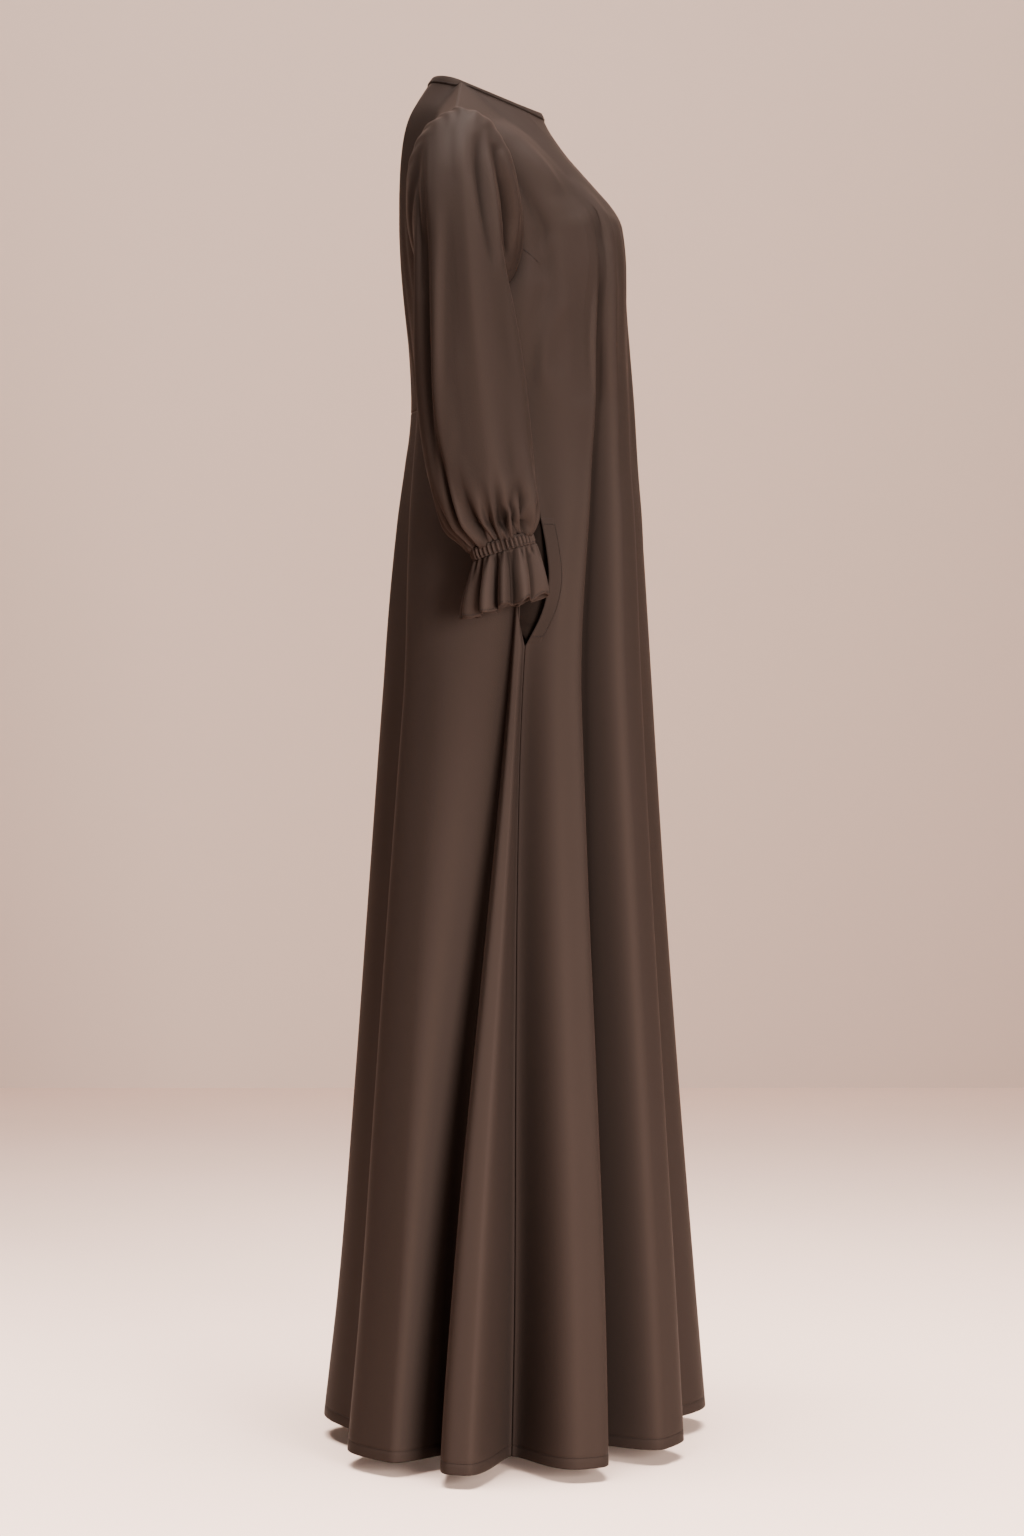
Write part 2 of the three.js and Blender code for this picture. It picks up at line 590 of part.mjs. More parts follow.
function addWristPiece(name, rings, thickness, shade) {
  const columns = rings[0].length;
  const inside = ringCentre(rings.flat());
  const sheet = facing(sheetOf(rings, true), inside);
  for (const [side, piece] of [['right', sheet], ['left', mirroredSheet(sheet)]]) {
    const [directions] = directionsOf([piece]);
    flattenEnd(directions, 0, columns, wristAxis);
    flattenEnd(directions, directions.length - columns, directions.length, wristAxis);
    addPiece(`${name}_${side}`, wall(piece, directions, thickness), shade);
  }
}

const rib = (n) => (n % 2 ? -CASING_RIB_DEPTH : CASING_RIB_DEPTH);
addWristPiece('cuff_casing', [
  wristRing(0, WRIST.half, CASING_RIBS * 2, rib),
  wristRing(CASING_LENGTH, WRIST.half, CASING_RIBS * 2, rib),
], CLOTH, 0.9);

const frillRows = [0, 0.3, 0.65, 1];
addWristPiece('cuff_frill', frillRows.map((share) => {
  const wave = (n, turn) => mix(FRILL_ROOT_DEPTH, FRILL_DEPTH, share) * Math.cos(FRILL_WAVES * turn)
    + FRILL_SWAY * share * Math.sin(3 * turn + 1);
  const half = mix(WRIST.half + 0.5, FRILL_HALF, Math.sin(share * Math.PI / 2));
  const columns = FRILL_WAVES * FRILL_COLUMNS_PER_WAVE;
  return wristRing(CASING_LENGTH + FRILL_LENGTH * share, half, columns, wave, FRILL_FALLS_BACK * share);
}), THIN_CLOTH, 1.02);

// Neck binding: a strip folded over the edge of the neck, outside, over and inside. Where it
// turns the shoulder seam it has a section on each side of the seam and one on it.
function neckEdge() {
  const edge = [];
  const add = (rows, directions, n) => {
    const down = rows[1][n].clone().sub(rows[0][n]).normalize();
    edge.push({ point: rows[0][n], out: directions[n], down, up: down.clone().negate() });
  };
  const seam = (rows, directions, n, towardsNeck) => {
    const point = rows[0][n];
    const shoulder = rows[0][n - towardsNeck].clone().sub(point).normalize();
    const along = rows[0][n + towardsNeck].clone().sub(point).normalize();
    const down = rows[1][n].clone().sub(point).normalize();
    const up = shoulder.clone().negate();
    const beside = point.clone().addScaledVector(along, SHOULDER_TURN);
    return {
      on: { point, out: directions[n], down: shoulder, up },
      beside: { point: beside, out: directions[n], down, up },
    };
  };
  const lastFront = frontRows[0].length - 1 - SHOULDER_COLUMNS;
  const lastBack = backRows[0].length - 1 - SHOULDER_COLUMNS;
  const bodice = backRows;
  const left = seam(frontRows, frontOut, SHOULDER_COLUMNS, 1);
  const right = seam(frontRows, frontOut, lastFront, -1);
  edge.push(left.on, left.beside);
  for (let n = SHOULDER_COLUMNS + 1; n < lastFront; n += 1) add(frontRows, frontOut, n);
  edge.push(right.beside, right.on, seam(bodice, bodiceOut, SHOULDER_COLUMNS, 1).beside);
  for (let n = SHOULDER_COLUMNS + 1; n < lastBack; n += 1) add(bodice, bodiceOut, n);
  edge.push(seam(bodice, bodiceOut, lastBack, -1).beside);
  return edge;
}

function bindingSection({ point, out, down, up }) {
  const reach = BINDING_GAP + THIN_CLOTH;
  const corners = [
    [down, NECK_BINDING_WIDTH, BINDING_GAP], [down, NECK_BINDING_WIDTH, reach], [up, reach, reach],
    [up, reach, -CLOTH - reach], [down, NECK_BINDING_WIDTH, -CLOTH - reach],
    [down, NECK_BINDING_WIDTH, -CLOTH - BINDING_GAP], [up, BINDING_GAP, -CLOTH - BINDING_GAP],
    [up, BINDING_GAP, BINDING_GAP],
  ];
  return corners.map(([way, distance, outer]) => point.clone().addScaledVector(way, distance)
    .addScaledVector(out, outer));
}

function ringSolid(sections) {
  const width = sections[0].length;
  const { points, faces } = sheetOf([...sections, sections[0]], true);
  const count = sections.length * width;
  const wrapped = faces.map((face) => face.map((n) => n % count));
  const triangles = wrapped.flatMap(([a, b, c, d]) => [[a, b, c], [a, c, d]]);
  const volume = triangles.reduce((sum, [a, b, c]) => (
    sum + points[a].dot(points[b].clone().cross(points[c]))), 0);
  if (volume < 0) triangles.forEach((triangle) => triangle.reverse());
  return geometryOf(points.slice(0, count), triangles);
}

addPiece('neck_binding', ringSolid(neckEdge().map(bindingSection)), 0.85);

// Pockets: a welt along the front edge of the mouth, and a bag inside the front panel.
const mouthRow = UPPER_ROWS + LEVELS.indexOf(MOUTH[0].z);
const mouthEnd = UPPER_ROWS + LEVELS.indexOf(MOUTH.at(-1).z);
const bagEnd = UPPER_ROWS + LEVELS.indexOf(BAG_LOWEST_Z);

// The points of the front panel, counted from a side seam towards the front, and their directions.
function fromSeam(side) {
  const width = frontRows[0].length;
  const column = (k) => (side === 'right' ? width - 1 - k : k);
  return {
    point: (row, k) => frontRows[row][column(k)],
    out: (row, k) => frontOut[row * width + column(k)],
  };
}

function addWelt(side) {
  const panel = fromSeam(side);
  const rows = [];
  for (let row = mouthRow; row <= mouthEnd; row += 1) {
    rows.push([0, 1].map((k) => (
      panel.point(row, k).clone().addScaledVector(panel.out(row, k), SEAM_GAP + THIN_CLOTH))));
  }
  const sheet = facing(sheetOf(rows), insideBody);
  const [directions] = directionsOf([sheet]);
  addPiece(`pocket_welt_${side}`, wall(sheet, directions, THIN_CLOTH, 0), 1.1);
}

function addBag(side) {
  const panel = fromSeam(side);
  const edgeColumn = side === 'right' ? 0 : backRows[0].length - 1;
  const outer = [];
  const inner = [];
  for (let row = mouthRow; row <= bagEnd; row += 1) {
    const share = (row - mouthRow) / (bagEnd - mouthRow);
    const outerRow = [];
    const innerRow = [];
    for (let k = 0; k <= BAG_COLUMNS; k += 1) {
      const out = panel.out(row, k);
      const start = panel.point(row, k).clone().addScaledVector(out, -CLOTH - SEAM_GAP);
      const hollow = BAG_HOLLOW * Math.sin(Math.PI * share) * (1 - k / BAG_COLUMNS);
      outerRow.push(start);
      innerRow.push(start.clone().addScaledVector(out.clone().normalize(), -BAG_RIM - hollow));
    }
    if (row > mouthRow && row < mouthEnd) {
      const edge = backRows[row][edgeColumn];
      const width = backRows[0].length;
      const out = skirtOut[(row - waistRow) * width + edgeColumn];
      innerRow[0] = edge.clone().addScaledVector(out, -CLOTH - SEAM_GAP);
    }
    outer.push(outerRow);
    inner.push(innerRow);
  }
  const width = BAG_COLUMNS + 1;
  const leaf = sheetOf(outer);
  const count = leaf.points.length;
  const faces = [...leaf.faces, ...leaf.faces.map((face) => face.map((n) => n + count).reverse())];
  for (const { from, to } of boundaryEdges(leaf)) {
    const isAtSeam = from % width === 0 && to % width === 0;
    const isInMouth = Math.max(from, to) <= (mouthEnd - mouthRow) * width;
    if (!(isAtSeam && isInMouth)) faces.push([to, from, from + count, to + count]);
  }
  const points = [...leaf.points, ...inner.flat()];
  const sheet = facing({ points, faces }, ringCentre(points.map((point) => point.clone())));
  const [directions] = directionsOf([sheet]);
  addPiece(`pocket_bag_${side}`, wall(sheet, directions, THIN_CLOTH, 0), 0.8);
}

for (const side of ['right', 'left']) {
  addWelt(side);
  addBag(side);
}

export default abaya;
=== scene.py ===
import math
from collections import namedtuple

import bmesh
import bpy
import numpy as np
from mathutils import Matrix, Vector


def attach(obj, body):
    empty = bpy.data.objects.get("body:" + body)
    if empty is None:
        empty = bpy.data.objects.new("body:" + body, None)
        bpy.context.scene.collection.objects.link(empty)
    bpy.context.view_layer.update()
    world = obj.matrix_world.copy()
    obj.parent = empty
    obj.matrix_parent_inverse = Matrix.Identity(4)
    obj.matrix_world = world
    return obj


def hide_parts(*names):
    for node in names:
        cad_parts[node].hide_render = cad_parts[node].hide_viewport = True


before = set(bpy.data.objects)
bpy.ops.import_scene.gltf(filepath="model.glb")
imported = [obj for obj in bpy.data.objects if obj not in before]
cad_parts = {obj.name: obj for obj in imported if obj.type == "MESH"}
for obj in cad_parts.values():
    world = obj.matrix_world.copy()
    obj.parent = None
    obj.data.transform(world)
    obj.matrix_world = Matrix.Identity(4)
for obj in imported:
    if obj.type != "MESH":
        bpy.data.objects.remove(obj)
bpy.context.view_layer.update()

# The view. The garment is seen level from its wearer's right side, from 4.4 m away with a long
# lens, so that its long hem isn't foreshortened.
CAMERA_PLACE = (-4.4, -0.0589, -0.7105)
LENS_MM = 94.6
SENSOR_MM = 36

camera_data = bpy.data.cameras.new("camera")
camera_data.lens = LENS_MM
camera_data.sensor_width = SENSOR_MM
camera_data.clip_end = 60
camera = bpy.data.objects.new("camera", camera_data)
camera.location = CAMERA_PLACE
camera.rotation_euler = (math.radians(90), 0, math.radians(-90))
bpy.context.scene.collection.objects.link(camera)
bpy.context.scene.camera = camera


# The studio. A painted concrete floor meets a pale plaster wall, both warm and faintly clouded.
# Large soft boxes hang in front of the garment, over it and beside it.
FLOOR_Z = -1.43
WALL_X = 4.68
STUDIO_HALF = 9
AIR_COLOUR, AIR_STRENGTH = (1.0, 0.94, 0.9, 1), 0.022
WALL_PAINT = (0.66, 0.495, 0.41, 1)
FLOOR_PAINT = (0.895, 0.635, 0.52, 1)


def input_of(node, name, value):
    """Sets a socket, or links it where the value is another node's output."""
    if isinstance(value, bpy.types.NodeSocket):
        node.id_data.links.new(value, node.inputs[name])
    else:
        node.inputs[name].default_value = value


def add_node(tree, kind, settings=None, **inputs):
    """A node with its settings, and its inputs given by name with _ for a space."""
    node = tree.nodes.new(kind)
    for name, value in (settings or {}).items():
        setattr(node, name, value)
    for name, value in inputs.items():
        input_of(node, name.replace("_", " "), value)
    return node


def new_material(name):
    """An empty material with its output, and the node tree that the finish is built in."""
    material = bpy.data.materials.new(name)
    material.use_nodes = True
    tree = material.node_tree
    tree.nodes.clear()
    output = tree.nodes.new("ShaderNodeOutputMaterial")
    return material, tree, output


def mixed(tree, factor, first, second):
    """The colour between two others."""
    node = add_node(tree, "ShaderNodeMix", {"data_type": "RGBA"})
    input_of(node, 0, factor)
    input_of(node, 6, first)
    input_of(node, 7, second)
    return node.outputs[2]


def paint_material(name, colour, cloud_scale, cloud_share):
    """Dull paint, faintly clouded."""
    material, tree, output = new_material(name)
    place = add_node(tree, "ShaderNodeTexCoord").outputs["Object"]
    clouds = add_node(tree, "ShaderNodeTexNoise", Vector=place, Scale=cloud_scale, Detail=5.0)
    darker = tuple(c * (1 - cloud_share) for c in colour[:3]) + (1,)
    coloured = mixed(tree, clouds.outputs["Fac"], darker, colour)
    shader = add_node(tree, "ShaderNodeBsdfPrincipled", Base_Color=coloured, Roughness=0.85,
                      Specular_IOR_Level=0.2)
    # from behind, the sheet is open, so that the garment is seen from its other side too
    behind = add_node(tree, "ShaderNodeNewGeometry").outputs["Backfacing"]
    finish = add_node(tree, "ShaderNodeMixShader", Fac=behind)
    tree.links.new(shader.outputs[0], finish.inputs[1])
    tree.links.new(add_node(tree, "ShaderNodeBsdfTransparent").outputs[0], finish.inputs[2])
    tree.links.new(finish.outputs[0], output.inputs[0])
    return material


def studio_sheet(name, corners, material):
    """A flat sheet of the studio from its four corners."""
    sheet = bmesh.new()
    sheet.faces.new([sheet.verts.new(corner) for corner in corners])
    mesh = bpy.data.meshes.new(name)
    sheet.to_mesh(mesh)
    sheet.free()
    mesh.materials.append(material)
    made = bpy.data.objects.new(name, mesh)
    bpy.context.scene.collection.objects.link(made)
    return made


studio_sheet("floor", [
    (-STUDIO_HALF, -STUDIO_HALF, FLOOR_Z), (STUDIO_HALF, -STUDIO_HALF, FLOOR_Z),
    (STUDIO_HALF, STUDIO_HALF, FLOOR_Z), (-STUDIO_HALF, STUDIO_HALF, FLOOR_Z),
], paint_material("floor_paint", FLOOR_PAINT, 1.6, 0.09))
studio_sheet("wall", [
    (WALL_X, -STUDIO_HALF, FLOOR_Z), (WALL_X, -STUDIO_HALF, STUDIO_HALF),
    (WALL_X, STUDIO_HALF, STUDIO_HALF), (WALL_X, STUDIO_HALF, FLOOR_Z),
], paint_material("wall_paint", WALL_PAINT, 0.7, 0.05))

world = bpy.data.worlds.new("studio_air")
world.use_nodes = True
world.node_tree.nodes["Background"].inputs["Color"].default_value = AIR_COLOUR
world.node_tree.nodes["Background"].inputs["Strength"].default_value = AIR_STRENGTH
bpy.context.scene.world = world

SoftBox = namedtuple("SoftBox", "name place aim width height spread power colour")
SOFT_BOXES = [
    SoftBox("key_box", (-4.1, -1.75, -0.62), (0, 0, -0.98), 1.4, 1.8, 70, 121, (1.0, 0.965, 0.94)),
    SoftBox("overhead_box", (-0.45, -0.1, 3.4), (-0.7, -0.2, 0), 3.6, 3.6, 90, 390, (1.0, 0.965, 0.94)),
    SoftBox("wall_box", (2.4, -0.4, 3.4), (4.68, -0.2, -0.2), 6.0, 1.2, 130, 140, (1.0, 0.96, 0.93)),
]
for box in SOFT_BOXES:
    light = bpy.data.lights.new(box.name, "AREA")
    light.shape = "RECTANGLE"
    light.size, light.size_y = box.width, box.height
    light.spread = math.radians(box.spread)
    light.energy = box.power
    light.color = box.colour
    lamp = bpy.data.objects.new(box.name, light)
    lamp.location = box.place
    lamp.rotation_euler = (Vector(box.aim) - Vector(box.place)).to_track_quat("-Z", "Y").to_euler()
    bpy.context.scene.collection.objects.link(lamp)


# The front panel. One cut piece of dull-faced crepe from the neck to the hem, shaped by a dart at
# each side of the bust. It is sewn to the back at the shoulders and sides, and hangs in deep folds
# that a flared hem gives. Lengths in the garment's tables are in millimetres.
CLOTH = 1.1
UNDERARM_Z, WAIST_Z, HEM_Z, HEM_RISE = -215, -326, -1416, 9
HEM_DEPTH = 11
OVAL_POWER = 2.3
FINE = 6
UPPER_ROWS, SHOULDER_COLUMNS = 7, 7
COLUMN_DEGREES, LEAST_COLUMNS = 9, 3

Section = namedtuple("Section", "z front back half")
SECTIONS = [
    Section(UNDERARM_Z, -184, 57.5, 194), Section(-265, -187.5, 53, 192),
    Section(WAIST_Z, -191.5, 51.2, 190), Section(-386, -195, 57.5, 194),
    Section(-447, -200.5, 65, 203), Section(-585, -209.5, 78, 221),
    Section(-833, -225, 96, 256), Section(-1058, -241.5, 112, 287),
    Section(-1261, -258, 128, 310), Section(HEM_Z, -271, 145, 325),
]
Seam = namedtuple("Seam", "z angle")
SIDE_SEAM = [
    Seam(UNDERARM_Z, 101), Seam(WAIST_Z, 92.5), Seam(-447, 84.5), Seam(-585, 88.3),
    Seam(-800, 90), Seam(HEM_Z, 91),
]
Mouth = namedtuple("Mouth", "z front back")
POCKET_MOUTH = [
    Mouth(-447, -88, -88), Mouth(-482, -94, -76), Mouth(-516, -96.5, -68),
    Mouth(-550, -89.5, -65.5), Mouth(-585, -72.4, -72.4),
]
MOUTH_GAPE = 4

# A fold's place is in degrees round from the front to the wearer's right, at the underarm and from
# the hips down. The rest is how far it stands out or in from the plain oval at each height.
Fold = namedtuple("Fold", "top low bust waist hip hem seam settles", defaults=[0, -650])
FRONT_FOLDS = [
    Fold(0, 0, 0, -3, -2, -58, seam=-1), Fold(-67, -79, 1, 4, 9, 30), Fold(-58, -67, -1, -17, -46, -112),
    Fold(-50, -55, 2, 3, 6, 10), Fold(-30, -37, -1, -5, -12, -50), Fold(0, -8, 0, 0, 0, 0),
    Fold(30, 38, -1, -6, -14, -56), Fold(50, 56, 2, 4, 7, -2), Fold(60, 69.4, -1, -16, -40, -104),
    Fold(67, 79, 1, 4, 9, 27), Fold(0, 0, 0, -3, -2, -60, seam=1),
]
FOLD_HEIGHTS = [UNDERARM_Z, WAIST_Z, -585, HEM_Z]
NEAR_BREADTH, FAR_BREADTH = 1.2, 2.8
LEAST_FOLD_GAP = 1.5
LINE_STEPS = 24

Point = namedtuple("Point", "x y z")
NECK_FRONT, NECK_SIDE, NECK_BACK = Point(0, -90.5, 2), Point(-78, -4, 25), Point(0, 28.5, 37)
SHOULDER_TIP = Point(-200, 0, -26)
FRONT_NECK_DIP = 5.5
CENTRE_FRONT = [
    NECK_FRONT, Point(0, -99.7, -19), Point(0, -117, -47), Point(0, -134, -67), Point(0, -151, -86),
    Point(0, -165, -102), Point(0, -174, -118), Point(0, -178, -142), Point(0, -181, -175),
    Point(0, -184, UNDERARM_Z),
]
ARMHOLE_FRONT = [
    SHOULDER_TIP, Point(-195, -20, -29), Point(-188, -39, -44), Point(-182, -51, -70),
    Point(-176, -61, -100), Point(-173, -68, -138), Point(-176, -66, -176), Point(-184, -52, -204),
]
Relief = namedtuple("Relief", "x z wide tall out")
BUST = Relief(-88, -142, 62, 62, -7)

HEM_OFFSETS = [15, HEM_DEPTH + 1.3, HEM_DEPTH, HEM_DEPTH - 1.3, 6, 2, 0]
LOWER_HEIGHTS = np.concatenate([
    np.linspace(UNDERARM_Z, WAIST_Z, 19)[:-1], np.linspace(WAIST_Z, -447, 21)[:-1],
    np.linspace(-447, -585, 28)[:-1], np.linspace(-585, HEM_Z + 20, 124),
    HEM_Z + np.array(HEM_OFFSETS),
])


def between(rows, name, at, key="z"):
    """A column of a table at any place between its rows, on a smooth curve."""
    keys = np.array([getattr(row, key) for row in rows], float)
    values = np.array([getattr(row, name) for row in rows], float)
    if keys[0] > keys[-1]:
        keys, values = keys[::-1], values[::-1]
    return between_values(keys, values, at)


def between_values(keys, values, at):
    """Values at any place between rising keys, on a smooth curve that doesn't move past its ends."""
    last = len(keys) - 1
    after, before = np.minimum(np.arange(last + 1) + 1, last), np.maximum(np.arange(last + 1) - 1, 0)
    slope = (values[after] - values[before]) / (keys[after] - keys[before])
    here = np.clip(at, keys[0], keys[-1])
    i = np.clip(np.searchsorted(keys, here, "right") - 1, 0, last - 1)
    step = keys[i + 1] - keys[i]
    t = (here - keys[i]) / step
    rise = t * t * (3 - 2 * t)
    value = values[i] + (values[i + 1] - values[i]) * rise
    return value + step * slope[i] * t * (1 - t) ** 2 - step * slope[i + 1] * t * t * (1 - t)


def smooth_step(value, start, end):
    """A soft rise from 0 at the start to 1 at the end."""
    t = np.clip((value - start) / (end - start), 0, 1)
    return t * t * (3 - 2 * t)


def body_points(angle, z, depth):
    """The places on the oval at these angles and heights, moved out by the folds' depth."""
    front, back = between(SECTIONS, "front", z), between(SECTIONS, "back", z)
    sine, cosine = np.sin(np.radians(angle)), np.cos(np.radians(angle))
    across = np.abs(sine / between(SECTIONS, "half", z)) ** OVAL_POWER
    along = np.abs(cosine / ((back - front) / 2)) ** OVAL_POWER
    radius = (across + along) ** (-1 / OVAL_POWER) + depth
    hem = HEM_Z + HEM_RISE * cosine ** 2
    level = UNDERARM_Z + (z - UNDERARM_Z) * (hem - UNDERARM_Z) / (HEM_Z - UNDERARM_Z)
    return np.stack([-radius * sine, (front + back) / 2 - radius * cosine, level], -1)


def panel_columns(folds):
    """The fold position of every column of a panel, and how many columns there are from fold to fold."""
    places = [SIDE_SEAM[-1].angle * fold.seam if fold.seam else fold.low for fold in folds]
    if folds[0].seam > 0:
        places[-1] += 360
    counts = [max(LEAST_COLUMNS, round(gap / COLUMN_DEGREES)) for gap in np.diff(places)]
    starts = np.concatenate([[0], np.cumsum(counts)])
    columns = np.arange(starts[-1] * FINE + 1) / FINE
    return np.interp(columns, starts, np.arange(len(folds))), starts


def lower_panel(folds, where, z):
    """The rows of a panel from the underarm to the hem. In the pocket's mouth its edge leaves the seam."""
    is_front = folds[0].seam < 0
    keys = -np.array(FOLD_HEIGHTS, float)
    seam = between(SIDE_SEAM, "angle", z)
    mouth_y = between(POCKET_MOUTH, "front" if is_front else "back", z)
    in_mouth = (z <= POCKET_MOUTH[0].z) & (z >= POCKET_MOUTH[-1].z)
    centre = (between(SECTIONS, "front", z) + between(SECTIONS, "back", z)) / 2
    at_mouth = np.degrees(np.arccos(np.clip((centre - mouth_y) / between(SECTIONS, "half", z), -1, 1)))
    share = np.sin(np.pi * (z - POCKET_MOUTH[0].z) / (POCKET_MOUTH[-1].z - POCKET_MOUTH[0].z))
    gape = np.where(in_mouth & is_front, MOUTH_GAPE * share, 0)
    angles, depths = [], []
    for n, fold in enumerate(folds):
        depth = between_values(keys, np.array([fold.bust, fold.waist, fold.hip, fold.hem], float), -z)
        if fold.seam:
            angle = fold.seam * np.where(in_mouth, at_mouth, seam)
            angle = angle + (360 if n and not is_front else 0)
            depth = depth + gape
        else:
            angle = fold.top + (fold.low - fold.top) * smooth_step(-z, -UNDERARM_Z, -fold.settles)
            angle = np.maximum(angle, seam + LEAST_FOLD_GAP * n) if fold.settles == HEM_Z else angle
        angles.append(angle)
        depths.append(depth)
    angles, depths = np.array(angles).T, np.array(depths).T
    i = np.clip(where.astype(int), 0, len(folds) - 2)
    middle = [fold.top for fold in folds].index(0 if is_front else 180, 1)
    part = where - i
    # a fold slopes softly on the side of the near seam, and drops steeply on its far side
    falls = depths[:, i] > depths[:, i + 1]
    is_far = falls == (i < middle)
    from_crest = np.where(falls, part, 1 - part) ** np.where(is_far, FAR_BREADTH, NEAR_BREADTH)
    bend = (1 - np.cos(np.pi * from_crest)) / 2
    bend = np.where(falls, bend, 1 - bend)
    angle = angles[:, i] * (1 - part) + angles[:, i + 1] * part
    depth = depths[:, i] * (1 - bend) + depths[:, i + 1] * bend
    return body_points(angle, z[:, None], depth)


def distances_along(line):
    """How far along a line each of its points is."""
    return np.concatenate([[0], np.cumsum(np.linalg.norm(np.diff(line, axis=0), axis=1))])


def points_at(line, length, at):
    """Points of a line at given distances along it, length being those of its own points."""
    return np.stack([np.interp(at, length, column) for column in line.T], -1)


def smooth_line(points, shares):
    """Points at shares of the length of a smooth line through the given ones."""
    known = np.array(points, float)
    ends = [2 * known[0] - known[1], *known, 2 * known[-1] - known[-2]]
    line = []
    for a, b, c, d in zip(ends, ends[1:], ends[2:], ends[3:]):
        steps = [np.linalg.norm(q - p) ** 0.5 for p, q in ((a, b), (b, c), (c, d))]
        k0, k1, k2, k3 = np.cumsum([0, *steps])
        k = np.linspace(k1, k2, LINE_STEPS, endpoint=False)[:, None]
        ab = (k1 - k) / (k1 - k0) * a + (k - k0) / (k1 - k0) * b
        bc = (k2 - k) / (k2 - k1) * b + (k - k1) / (k2 - k1) * c
        cd = (k3 - k) / (k3 - k2) * c + (k - k2) / (k3 - k2) * d
        abc = (k2 - k) / (k2 - k0) * ab + (k - k0) / (k2 - k0) * bc
        bcd = (k3 - k) / (k3 - k1) * bc + (k - k1) / (k3 - k1) * cd
        line.append((k2 - k) / (k2 - k1) * abc + (k - k1) / (k2 - k1) * bcd)
    line = np.concatenate([*line, known[-1:]])
    length = distances_along(line)
    return points_at(line, length, np.array(shares) * length[-1])


def upper_half(centre_line, armhole, bottom, relief, neck_dip):
    """The right half above the underarm, stretched between its four edges, from the middle out."""
    last = len(bottom) - 1
    s = np.arange(last + 1) / last
    neck_share = 1 - SHOULDER_COLUMNS * FINE / last
    middle, side, tip = np.array(centre_line[0]), np.array(NECK_SIDE), np.array(SHOULDER_TIP)
    turn = np.clip(s / neck_share, 0, 1) * math.pi / 2
    neck = np.stack([side[0] * np.sin(turn), side[1] + (middle[1] - side[1]) * np.cos(turn),
                     side[2] + (middle[2] - side[2]) * np.cos(turn) - neck_dip * np.sin(2 * turn)], -1)
    along = np.clip((s - neck_share) / (1 - neck_share), 0, 1)[:, None]
    top = neck + (tip - side) * along
    t = np.arange(UPPER_ROWS * FINE) / (UPPER_ROWS * FINE)
    centre = smooth_line(centre_line, t)[:, None]
    edge = smooth_line([*armhole, Point(*bottom[-1])], t)[:, None]
    t, s = t[:, None, None], s[None, :, None]
    rows = (top * (1 - t) + bottom * t + centre * (1 - s) + edge * s
            - top[0] * (1 - s) * (1 - t) - top[-1] * s * (1 - t)
            - bottom[0] * (1 - s) * t - bottom[-1] * s * t)
    off = ((rows[..., 0] - relief.x) / relief.wide) ** 2 + ((rows[..., 2] - relief.z) / relief.tall) ** 2
    rise = relief.out * np.exp(-off) * np.sqrt(np.abs(np.sin(np.pi * t[..., 0])))
    rise[:, [0, -1]] = 0
    rows[..., 1] += rise
    return rows


def whole_panel(folds, centre_line, armhole, relief, neck_dip):
    """A panel from the neckline to the hem as a grid of points, from one side seam to the other."""
    where, starts = panel_columns(folds)
    lower = lower_panel(folds, where, LOWER_HEIGHTS)
    middle = int(starts[[fold.top for fold in folds].index(180 if folds[0].seam > 0 else 0, 1)]) * FINE
    mirror = np.array([-1, 1, 1])
    halves = []
    for bottom in (lower[0, :middle + 1][::-1], lower[0, middle:]):
        flip = mirror if bottom[-1, 0] > 0 else 1
        halves.append(upper_half(centre_line, armhole, bottom * flip, relief, neck_dip) * flip)
    upper = np.concatenate([halves[0][:, ::-1], halves[1][:, 1:]], 1)
    points = ease_underarm(np.concatenate([upper, lower]), UPPER_ROWS * FINE)
    return ease_shoulders(points)


def ease_shoulders(points, reach=30, depth=26, passes=300):
    """Rounds the cloth below the shoulder seams, but not the panel's edges."""
    rows, columns = points.shape[:2]
    past_corner = np.minimum(np.arange(columns), np.arange(columns)[::-1]) - SHOULDER_COLUMNS * FINE
    across = np.clip(1 - past_corner / reach, 0, 1)
    down = np.clip(1 - np.arange(rows) / depth, 0, 1)
    share = (np.sqrt(down)[:, None] * across)[1:-1, 1:-1, None]
    for _ in range(passes):
        middle = (points[:-2, 1:-1] + points[2:, 1:-1] + points[1:-1, :-2] + points[1:-1, 2:]) / 4
        points[1:-1, 1:-1] += (middle - points[1:-1, 1:-1]) * share
    return points


def ease_underarm(points, row, reach=16, passes=60):
    """Smooths the rows on both sides of the underarm, but not the panel's edges."""
    rows, columns = points.shape[:2]
    near = np.clip(1 - np.abs(np.arange(rows) - row) / reach, 0, 1)[1:-1, None, None]
    inside = np.clip(np.minimum(np.arange(columns), np.arange(columns)[::-1]) / 10, 0, 1)[:, None]
    for _ in range(passes):
        middle = (points[:-2] + points[2:]) / 2
        points[1:-1] += (middle - points[1:-1]) * near * inside * 0.9
    return points


def normals_of(points, closed=False):
    """The outward directions of a grid of points, whose columns run leftwards as seen from outside."""
    if closed:
        across = np.roll(points, -1, 1) - np.roll(points, 1, 1)
    else:
        across = np.gradient(points, axis=1)
    normal = np.cross(across, np.gradient(points, axis=0))
    return normal / np.maximum(np.linalg.norm(normal, axis=-1, keepdims=True), 1e-9)


# A crease is drawn on the garment as it is seen from one side: from the right or the left by y and z,
# from the front or the back by x and z. It is a ridge where its depth is over 0, and else a trough.
Crease = namedtuple("Crease", "seen depth width line")
EDGE_REACH = 6
SEEN_FROM = {"right": (-1, 0, 0), "left": (1, 0, 0), "front": (0, -1, 0), "back": (0, 1, 0)}


